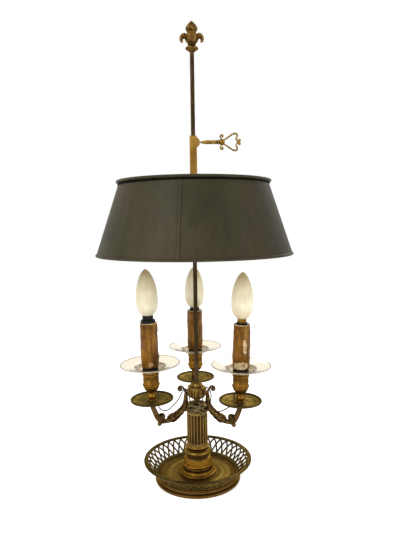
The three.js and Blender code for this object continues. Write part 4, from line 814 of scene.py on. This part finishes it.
def add_head():
    """Dome nut, leaf vase, rod cap, rod and finial."""
    add_turned("dome_nut_fine", "olive_brass", "dome_nut", None, 0.25,
        (BORE, 132.5), (5.2, 132.5), (5.6, 133.4, 0.3), (5.6, 135.8), (5.1, 136.4), (5.4, 137, 0.4),
        (3.9, 141.3, 0.35), (BORE, 141.5))

    def leafed(angle, radius, height):
        share = (height - VASE_FOOT) / VASE_RISE
        if radius < 4:
            return radius, height
        wave = abs(cos(3 * angle - pi / 4))
        vein = exp(-((1 - wave) / 0.03) ** 2)
        deep = sin(pi * min(max(share, 0), 1)) ** 0.5
        fine = 0.02 * cos(36 * angle) * deep
        droop = 1.2 * (wave - 1) * max(share - 0.7, 0) / 0.3
        return radius * (1 - deep * (0.21 * (1 - wave ** 0.5) + 0.035 * vein - fine)), height + droop

    vase = divided(closed(
        (BORE, VASE_FOOT), (8.3, VASE_FOOT), (9, 142.6, 0.4), (8.6, 143.4, 0.3), (12.6, 144.4, 0.1),
        (15.6, 147, 0.2), (16.6, 153.5, 0.1), (16.2, 159.6, 0.08), (14.4, 161.9, 0.3), (12.2, 162.9, 0.1),
        (11.4, 163.3), (BORE, 163.3)), 0.8)
    add_piece("vase_fine", lathe(vase, leafed, 240), "bright_brass", "leaf_vase", finish="vase",
        crease=50)

    add_turned("rod_cap_fine", "brass", "rod_cap", "vase", 0.15,
        (BORE, 163.6), (10.2, 163.6), (10.6, 164.4, 0.4), (10.3, 165.3, 0.4), (9.6, 165.8),
        (9.3, 167.2, 0.1), (7, 169.3, 0.2), (6.2, 169.6), (6.3, 170.4, 0.4), (5.5, 171.2, 0.3),
        (5.3, 171.2), (5.3, 166), (BORE, 165.9))

    bottom, top = ROD_ENDS
    worn = []
    for i in range(ROD_STEPS + 1):
        z = bottom + (top - bottom) * i / ROD_STEPS
        dent = 0.03 * sin(z * 0.9) + 0.025 * sin(z * 2.3 + 1)
        worn.append(flat(soft_square(ROD_HALF - 0.05 + dent, 0.55), z))
    tie = post(circle(3, 24), (1, bottom + 1))
    tenon = post(circle(2.5, 24), (top - 1, 727.2))
    add_piece("rod_fine", merged(skin(worn), tie, tenon), "dark_rod", "rod")

    def budded(angle, radius, height):
        if height < FINIAL_BUD or radius < 0.5:
            return radius, height
        lobe = abs(cos(4 * angle))
        return radius * (1 - 0.16 * (1 - lobe ** 0.6)), height

    core = divided(eased(outline(
        (0, 713.5), (5.2, 713.5), (6, 714.3, 0.3), (9.9, 717.1, -0.15), (10.3, 718.4, 0.5),
        (9.7, 719.8, 0.4), (6, 723.2, -0.25), (5.6, 724.2), (6.5, 725, 0.5), (6, 726, 0.4),
        (9.8, 729.6, 0.15), (10.6, 735.5, 0.15), (7.6, 741, 0.12), (6.6, 742.6), (7, 743.6, 0.4),
        (9.4, 747.2, 0.12), (9.6, 749.8, 0.2), (7.4, 753.8, 0.12), (4.4, 757.4, 0.08),
        (2.4, 759.2, -0.05), (0, 760.5, 0.3)), 0.15), 0.9)
    path = in_plane([(5, 731), (8.4, 735.6), (12.2, 737.6), (15.4, 736), (16.8, 732.6), (15.8, 729.8),
        (14, 729.6)], 6)

    def leaf(share):
        wide, thick = table([(5.8, 4), (6.6, 4.2), (6.8, 3.8), (6.2, 3.2), (4.8, 2.5), (2.4, 1.6)], share)
        ruffle = 1 + 0.12 * sin(22 * share)
        return [(thick * sin(a) - 1.6 * (cos(a) ** 2) * (1 - share), wide * ruffle * cos(a))
            for a in angles(16)]

    curls = [moved(sweep(path, leaf, Vector((0, 1, 0))), turned(k * TURN / 4)) for k in range(4)]
    add_piece("finial_fine", merged(lathe(core, budded, 128), *curls), "brass", "finial", finish="finial",
        crease=50)


def arm_places(shares, lift):
    return [(reach * CANDLE_REACH, ARM_LOW + rise * ARM_RISE + lift * reach ** 2)
            for reach, rise in shares]


def add_arm(candle):
    """A cast arm: scroll, leaf-clad curve, knuckle with its bud and spur, rise and seat."""
    lift = candle.lift
    scroll = []
    for i in range(SCROLL_STEPS + 1):
        angle = SCROLL_START - (1 - i / SCROLL_STEPS) * SCROLL_TURN
        radius = SCROLL_RADIUS * (0.24 + 0.76 * i / SCROLL_STEPS)
        scroll.append((SCROLL_PLACE[0] + radius * cos(angle), SCROLL_PLACE[1] + radius * sin(angle)))
    stem = arm_places(ARM_SHARES, lift)
    girths = [(SCROLL_GIRTH, SCROLL_GIRTH * 1.3)] * len(scroll) + ARM_GIRTHS
    first_leaf = (len(scroll) + 2) / (len(girths) - 1)
    last_leaf = (len(scroll) + 6.4) / (len(girths) - 1)

    def section(share):
        high, wide = table(girths, share)
        clad = min(max((share - first_leaf) * 40, 0), 1, max((last_leaf - share) * 40, 0))
        points = []
        for angle in angles(24):
            tips = (share * 46 + 0.45 * abs(sin(1.5 * angle))) % 1
            relief = clad * (0.2 * tips + 0.07 * abs(sin(6 * angle)) - 0.16)
            groove = (1 - clad) * 0.13 * exp(-(cos(angle) / 0.35) ** 2)
            size = 1 + relief - groove
            points.append((high * size * cos(angle), wide * size * sin(angle)))
        return points

    def leaf(share):
        high, wide = table([(1, 2.6), (1.5, 4), (1.5, 4.4), (1.3, 3.8), (1.1, 2.6), (0.6, 1)], share)
        frill = 1 + 0.16 * sin(30 * share)
        return [(high * cos(a) * (0.7 + 0.3 * abs(sin(2 * a))), wide * frill * sin(a))
            for a in angles(20)]

    def spur(share):
        return oval(*table([(3.6, 3.4), (3.8, 3.6), (3.6, 3.4), (2.4, 2.4)], share), 14)

    across = Vector((0, 1, 0))
    body = sweep(in_plane([*scroll, *stem], 9), section, across)
    leaves = [sweep(in_plane(arm_places(leaf_path, lift), 5), leaf, across) for leaf_path in LEAVES]
    tip = sweep(in_plane(arm_places(SPUR, lift), 4), spur, across)
    (bud_x, bud_z), = arm_places([BUD_PLACE], lift)
    bud = lathe(divided(outline((0, -5.8), (3.8, -5.2), (5.9, -1.8, 0.3), (5.8, 2, 0.2), (3, 5.4, 0.25),
        (0, 6, 0.1)), 0.6), lambda a, r, z: (r * (1 - 0.1 * (1 - abs(cos(3 * a)))), z), 36)
    eye = ball(2.5, (scroll[0][0], 0, scroll[0][1]), (1, 1.3, 1))
    ring_places = arm_places([(0.735, 0.008), (0.76, 0.014)], lift)
    rings = [ball(size, (x, 0, z), (0.5, 1, 1)) for size, (x, z) in zip((3.3, 3.5), ring_places)]
    lug = lathe(outline((0, 17.9), (3, 17.9), (3, 31), (0, 31)), None, 24)
    lug = moved(lug, shifted(0, 0, LUG_HEIGHT) @ LYING)
    arm = merged(body, *leaves, tip, moved(bud, shifted(bud_x, 0, bud_z)), eye, *rings, lug)
    seat = eased(outline((0, -6), (3.9, -5.4), (4.2, -3.6, 0.3), (5.2, -3.2, 0.2), (5.3, -0.6, 0.3),
        (4.8, 0), (3.5, 0), (3.5, 31), (0, 31)), 0.15)
    turn = turned(radians(candle.degrees))
    whole = merged(moved(arm, turn), moved(lathe(seat, None, 40), candle_place(candle)))
    add_piece(f"arm_{candle.name}_fine", whole, "bronze", f"arm_{candle.name}", crease=45)


def candle_place(candle):
    """From the middle of the arm's seat, with Z along the candle, to the frame."""
    return (turned(radians(candle.degrees))
            @ shifted(CANDLE_REACH, 0, ARM_LOW + ARM_RISE + candle.lift)
            @ turned(radians(candle.lean), "Y"))


def add_part(candle, kind, mesh, slot, node=None, finish=None, crease=32):
    """One piece of a candle, called fine where it stands for a node."""
    name = f"{kind}_{candle.name}_fine" if node else f"{kind}_{candle.name}"
    node = node and f"{node}_{candle.name}"
    add_piece(name, mesh, slot, node, finish, at=candle_place(candle), crease=crease)


def add_candle(candle):
    """Drip pan, cup, glass disc, holder, sleeve and bulb, from the arm's seat up."""
    pan = eased(closed(
        (PIN_BORE, 0.3), (24.8, 0.3), (31.6, 2.2, -0.08), (33, 3.2), (34.3, 3.7, 0.3), (34.2, 5, 0.6),
        (33, 5.3, 0.4), (32.2, 4.4, 0.2), (30.8, 3.7), (24.6, 1.9, 0.06), (12.4, 1.9), (11.8, 2.3, 0.3),
        (10.8, 2.3), (10.2, 1.9, 0.3), (PIN_BORE, 1.9)), 0.12)
    add_part(candle, "pan", lathe(divided(pan, 3)), "olive_brass", "drip_pan", "pan")
    roll = outline((31.8, 4.5), (32.8, 3.1, 0.35), (34.8, 3.5, 0.5), (34.7, 5.4, 0.4), (32.4, 5.5, 0.4),
        (31.8, 4.5, 0.2))
    add_part(candle, "pan_roll", lathe(roll), "olive_brass", finish="dark_rim")

    cup = eased(closed(
        (PIN_BORE, 2.2), (7.1, 2.2), (7.5, 3, 0.5), (7, 4, 0.5), (5.8, 4.6, -0.3), (6.6, 6.4, 0.2),
        (7, 8.4, 0.2), (5.8, 11.4, 0.15), (4.8, 13.8, -0.1), (4.9, 14.6), (5.7, 15, 0.5),
        (5.6, 15.9, 0.5), (8.8, 18.6, -0.12), (12.2, 23.6, 0.12), (13, 26.8, 0.08), (13.5, 27.4),
        (13.9, 28.8, 0.45), (13.4, 30.2, 0.45), (12.9, 30.7), (12.7, 31.6, -0.3), (12.7, 35.8),
        (13, 36.2, 0.4), (13, 36.9, 0.4), (12.7, 37.3), (12.7, 43.6), (13, 44, 0.2), (13, 44.8),
        (13.5, 45.4, 0.4), (13.5, 47, 0.5), (12.9, 47.7), (12.9, 49.2), (13.2, 49.6), (13.1, 50.2, 0.4),
        (12.3, 50.2), (12.2, 29.2), (PIN_BORE, 29.2)), 0.12)
    add_part(candle, "cup", lathe(cup), "bright_brass", "candle_cup", "cup")

    flange = closed((24.2, 56.4), (47.8, 62.6, -0.03), (48.5, 63.4, 0.5), (47.5, 64.1, 0.6),
        (24.2, 58.3, 0.03))
    bowl = closed((12.3, 50.5), (15.5, 50.5), (22.8, 54.4, 0.16), (24.1, 56.2, 0.12), (24.1, 58.3),
        (22, 57.4, 0.12), (15.8, 53.1, -0.14), (12.3, 52.9))
    add_part(candle, "glass", lathe(flange, None, 128), "clear_glass", "glass_disc", crease=60)
    edges = [outline((r - 0.75, z), (r + 0.75, z, 1), (r - 0.75, z, 1))
        for r, z in ((48, 63.4), (24.2, 57.4))]
    add_part(candle, "glass_edges", merged(*[lathe(edge, None, 128) for edge in edges]), "clear_glass",
        finish="glass_edge", crease=60)
    add_part(candle, "glass_bowl", lathe(bowl, None, 128), "clear_glass", finish="glass_bowl", crease=60)

    top = SLEEVE_TOP + candle.holder_end
    neck = max(top - 6.8, SLEEVE_TOP)
    holder = eased(closed(
        (PIN_BORE, 29.5), (11.9, 29.5), (11.9, 53.2), (12.5, 53.2), (12.9, 54, 0.4), (12.9, 55.6),
        (12.3, 56), (12.3, 58.6), (12.9, 59), (12.9, 61.2), (12.4, 61.7), (11.9, 61.7), (11.9, neck),
        (8.8, neck), (8.8, top), (7.8, top), (7.8, top - 26), (PIN_BORE, top - 26)), 0.12)
    add_part(candle, "holder", lathe(holder, None, 64), "bakelite", "lamp_holder")

    add_sleeve(candle)

    cap_bottom = top - SCREW_CAP + candle.bulb_lift
    cap_top = cap_bottom + SCREW_CAP

    def threaded(angle, radius, height):
        if radius < 6 or not cap_bottom + 5 < height < cap_top - 4:
            return radius, height
        return radius - 0.3 + 0.3 * cos(TURN * (height - cap_bottom) / THREAD - angle), height

    cap = divided(outline((0, cap_bottom), (3, cap_bottom), (3.4, cap_bottom + 1.6, 0.2),
        (6.6, cap_bottom + 3.6), (7.3, cap_bottom + 4.4, 0.3), (7.3, cap_top - 1), (7, cap_top, 0.3),
        (0, cap_top)), 0.4)
    add_part(candle, "bulb_cap", lathe(cap, threaded, 48), "bright_brass", "bulb_cap", "cup", 50)
    low = cap_top + SEAT
    bulb = [(0, low), (7.6, low), (8.6, low + 0.9)] + [
        (BULB_RADIUS * r, low + BULB_LENGTH * z) for r, z in ((0.62, 0.035), (0.86, 0.115), (0.975, 0.22),
        (1, 0.34), (0.98, 0.47), (0.91, 0.6), (0.78, 0.72), (0.6, 0.83), (0.4, 0.915),
        (0.21, 0.968))] + [(1.6, low + 74.4)]
    shape = [Vector(point) for point in bulb[:3]] + smooth_path(bulb[3:], 4)
    # The left bulb takes the darker copy of the glass, painted shade.
    add_part(candle, "bulb", lathe([*shape, Vector((0, low + BULB_LENGTH))], None, 64), "frosted_glass",
        "bulb_glass", "shaded_frosted_glass" if candle.name == "left" else "frosted_glass", 60)


def add_sleeve(candle):
    """A candle sleeve with drips of wax down its side and a worn upper edge."""
    chance = np.random.default_rng(candle.seed)
    drips = [(chance.uniform(0, TURN), chance.uniform(0.07, 0.17), chance.uniform(0.35, 0.95),
        chance.uniform(66, 118)) for _ in range(DRIPS)]

    def dripped(angle, radius, height):
        if radius < 12.6:
            return radius, height
        swell = 0.0
        for centre, width, size, end in drips:
            beside = abs((angle - centre + pi) % TURN - pi) / width
            if beside > 3:
                continue
            run = 1 / (1 + exp(-(height - end) / 1.2))
            bead = exp(-((height - end - 2) / 3) ** 2)
            swell += size * exp(-beside ** 2) * (0.75 * run + 0.55 * bead)
        wave = 0.3 * sin(5 * angle + height * 0.11) + 0.2 * sin(9 * angle - height * 0.23)
        edge = min(max((SLEEVE_TOP - height) / 3, 0), 1) * min(max((height - SLEEVE_FOOT) / 2, 0), 1)
        return radius + (swell * 0.9 - 0.4 + wave) * edge, height

    wall = divided(closed(
        (13.1, 58.7), (13.6, 59.2, 0.3), (13.9, 62), (14.4, 70), (14.6, 78), (14.2, 100), (13.8, 118),
        (13.5, 129.6), (13, SLEEVE_TOP, 0.3), (12.3, SLEEVE_TOP), (12.3, 62), (13.1, 61.9)), 1.1)
    add_part(candle, "sleeve", lathe(wall, dripped), "wax", "candle_sleeve", f"wax_{candle.name}", 60)

    rim = closed((12.3, 130.1), (13.3, 129.8), (13.5, 130.4, 0.4), (12.9, 130.9, 0.4), (12.3, 130.8))

    def chipped(angle, radius, height):
        return radius + 0.2 * sin(9 * angle) * (radius > 13), height

    add_part(candle, "sleeve_rim", lathe(rim, chipped), "wax", finish="wax_rim", crease=60)


def add_shade():
    """The sheet metal shade with its curled lip, beaded foot, lap seam and pale inner coat, and a painted
    shadow under the lip.
    """
    wall = outline(
        (160, 392.6), (122.5, 504.2), (123.6, 505.2, -0.3), (125.2, 505.6), (126.4, 507, 0.4),
        (125.6, 509, 0.5), (123.4, 509.5, 0.2), (121.6, 508.4, 0.3), (121.3, 505), (158.8, 392.4),
        (158.2, 390.4, 0.2), (159.2, 388.5, 0.3), (161.4, 388.6, 0.4), (162, 391, 0.4), (160, 392.6, 0.3))
    foot, head = Vector((160.2, 392.4)), Vector((122.8, 504))
    start, end = (radians(angle) for angle in SEAM_DEGREES)

    def ribbon(corners, ends):
        return skin([[polar(radius + lift, a, height) for a, lift in corners] for radius, height in ends])

    lap = [(start, -0.2), (start, 0.25), (start + SEAM_EDGE, 0.4), (end - SEAM_EDGE, 0.4), (end, 0.25),
        (end, -0.2)]
    strip = ribbon(lap, [foot.lerp(head, i / 12) for i in range(13)])
    add_piece("shade_fine", lathe(divided(wall, 12), None, 192), "shade_paint", "shade_shell",
        body="carrier")
    add_piece("shade_seam_fine", strip, "shade_paint", finish="shade_seam", body="carrier")
    lines = []
    for angle in (start, end):
        low, high = angle - SEAM_EDGE, angle + SEAM_EDGE
        lines.append(ribbon([(low, -0.2), (low, 0.45), (high, 0.45), (high, -0.2)], (foot, head)))
    add_piece("shade_seam_lines", merged(*lines), "shade_paint", finish="dark_seam", body="carrier")
    # Painted shadow: a black band under the lip, deeper on the left, and a black patch in the dent.
    under_lip = closed((124.1, 502.6), (123.9, 505.3), (122, 505.3), (122.4, 502.6))

    def lip_shadow_deeper_left(angle, radius, height):
        return radius, height - 1.1 * max(-cos(angle), 0) * (height < 503)

    notch = turned(radians(NOTCH_DEGREES)) @ shifted(124.4, 0, 0)
    dent = moved(post(soft_square(1.5, 0.4), (502.8, 506.4)), notch)
    add_piece("shade_lip_shadow", merged(lathe(under_lip, lip_shadow_deeper_left, 192), dent), "shade_paint",
        finish="painted_lip_shadow", body="carrier")
    coat = closed((158.6, 392.4), (121.1, 504.8), (120.9, 504.8), (158.4, 392.4))
    add_piece("shade_inner_coat", lathe(coat, None, 192), "shade_paint", finish="inner_coat",
        body="carrier")


def add_carrier():
    """The square guide sleeve with its boss, and the spider under the shade's upper edge."""
    outside, inside = soft_square(5.9, 0.9), soft_square(3.8, 0.3)
    levels = [(outside, 493.9), (outside, 500.6), (outside, 560), (outside, 581.1),
        (soft_square(5.4, 0.7), 581.5), (inside, 581.5), (inside, 493.5), (soft_square(5.4, 0.7), 493.5)]
    tube = skin([flat(loop, z) for loop, z in levels], True)
    shoulder = [(soft_square(7.4, 1), 500.9), (soft_square(7.75, 1.2), 501.3),
        (soft_square(7.75, 1.2), 503), (soft_square(7.4, 1), 503.4), (inside, 503.4), (inside, 500.9)]
    collar = skin([flat(loop, z) for loop, z in shoulder], True)
    boss = []
    for x, half_width, half_height in ((5, 5.2, 8), (5.9, 5.1, 7.8), (8, 4.4, 6.2), (10, 3.6, 4.2),
            (10.5, 3.2, 3.5)):
        loop = soft_square(1, 0.3)
        boss.append([Vector((x, half_width * y, KEY_HEIGHT + half_height * z)) for y, z in loop])
    screw = moved(post(circle(1.9, 20), (3.8, 11)), shifted(0, 0, KEY_HEIGHT) @ LYING)
    add_piece("guide_fine", merged(tube, collar, skin(boss)), "bright_brass", "guide_sleeve",
        body="carrier", finish="guide")
    add_piece("key_screw_fine", screw, "dark_steel", "key_screw", body="screw")

    ring = eased(closed((117.4, 503.7), (120.6, 503.7), (120.6, 506.1), (117.4, 506.1)), 0.3)
    hub = eased(closed((8.3, 503.7), (11.5, 503.7), (11.5, 506.1), (8.3, 506.1)), 0.3)
    bars = []
    for k in range(3):
        loop = [(y * 3.5, 504.9 + z * 1.2) for y, z in soft_square(1, 0.25)]
        bar = skin([[Vector((x, y, z)) for y, z in loop] for x in (8.6, 60, 118)])
        bars.append(moved(bar, turned(radians(SPIDER_DEGREES) + k * TURN / 3)))
    add_piece("spider_fine", merged(lathe(ring, None, 192), lathe(hub), *bars), "brass", "shade_spider",
        body="carrier")


def add_key():
    """The locking key: swelling stem, collar with two curls, open bow and three lobes."""
    stem = eased(outline(
        (0, 11.1), (1.1, 11.1), (1.2, 12.6), (2.4, 15.6, 0.1), (3.1, 24, 0.05), (3.1, 40.6),
        (3.8, 41.2, 0.4), (3.8, 42.4, 0.4), (3.1, 43), (3.3, 43.6), (4.8, 44.6, 0.3), (4.9, 49, 0.2),
        (3.4, 50.8, 0.3), (2.4, 51.4), (0, 51.4)), 0.15)
    stem = moved(lathe(divided(stem, 2), None, 40), LYING)
    wires = [stem]
    for side in (1, -1):
        bow = [(49, 2.6), (52.6, 4.6), (60.4, 10), (65, 12.8), (69.2, 13.5), (71.6, 11.9),
               (71.6, 9), (70.2, 5.8), (71, 3), (73, 0.9)]
        curl = [(47, 3.2), (45.4, 6.2), (44.2, 8.8), (45.2, 11), (47.4, 11.4), (48.6, 10.2),
                (48, 8.8)]
        for points, thick in ((bow, 1.3), (curl, 1.15)):
            path = in_plane([(x, side * z) for x, z in points], 6)
            wires.append(sweep(path, lambda share, thick=thick: circle(
                thick * (1.15 - 0.4 * abs(2 * share - 1) ** 3), 14)))
        wires.append(ball(1.7, (48, 0, side * 8.9)))
        wires.append(ball(2.6, (75.4, 0, side * 2.6), (1, 0.8, 1)))
    wires.append(ball(2.3, (73.2, 0, 0), (1, 0.8, 1)))
    add_piece("key_fine", merged(*wires), "bright_brass", "key_bow", "key", "key",
        shifted(0, 0, KEY_HEIGHT), 50)


def add_floor():
    mesh = bpy.data.meshes.new("floor")
    mesh.from_pydata([(-3, -3, 0), (3, -3, 0), (3, 3, 0), (-3, 3, 0)], [], [(0, 1, 2, 3)])
    floor = in_scene("floor", mesh)
    made = Finish("floor", Roughness=0.9)
    lit = made.node("ShaderNodeBsdfDiffuse", Color=(1, 1, 1, 1))
    glow = made.node("ShaderNodeEmission", Color=(1, 1, 1, 1), Strength=SKY_GLOW)
    both = made.node("ShaderNodeAddShader")
    made.feed(both.inputs[0], lit.outputs[0])
    made.feed(both.inputs[1], glow.outputs[0])
    made.feed(made.tree.nodes["Material Output"].inputs["Surface"], both.outputs[0])
    mesh.materials.append(made.material)


def add_world():
    world = bpy.data.worlds.new("world")
    world.use_nodes = True
    bpy.context.scene.world = world
    made = Nodes(world.node_tree)
    rays = made.node("ShaderNodeLightPath").outputs
    seen = made.maths("MAXIMUM", rays["Is Camera Ray"], rays["Is Glossy Ray"])
    seen = made.maths("MAXIMUM", seen, rays["Is Transmission Ray"])
    strength = made.node("ShaderNodeMapRange", Value=seen, To_Min=SKY_GLOW, To_Max=1.0)
    sky = made.tree.nodes["Background"]
    sky.inputs["Color"].default_value = (1, 1, 1, 1)
    made.feed(sky.inputs["Strength"], strength.outputs[0])


add_camera()
for candle_name in WIRE_ROUTES:
    add_wire(candle_name)
add_binding()

for row in frame["record"]["subparts"]:
    node = frame["nodes"][row["node"]]
    node.data.materials.clear()
    node.data.materials.append(FINISHES[row["material_slot"]])

add_base()
add_column()
add_head()
for stand_candle in CANDLES:
    add_arm(stand_candle)
    add_candle(stand_candle)
add_shade()
add_carrier()
add_key()

add_floor()
add_world()
add_area_light("key_light", (-0.9, -1.1, 1.25), (0, 0, 0.35), (0.8, 0.8), 14)
add_area_light("fill_light", (1.2, -0.8, 0.7), (0, 0, 0.35), (0.7, 1.0), 5)
add_area_light("rim_light", (0.5, 1.2, 1.2), (0, 0, 0.4), (1.0, 0.6), 8)
bpy.context.scene.view_settings.view_transform = "Standard"

bpy.context.view_layer.update()
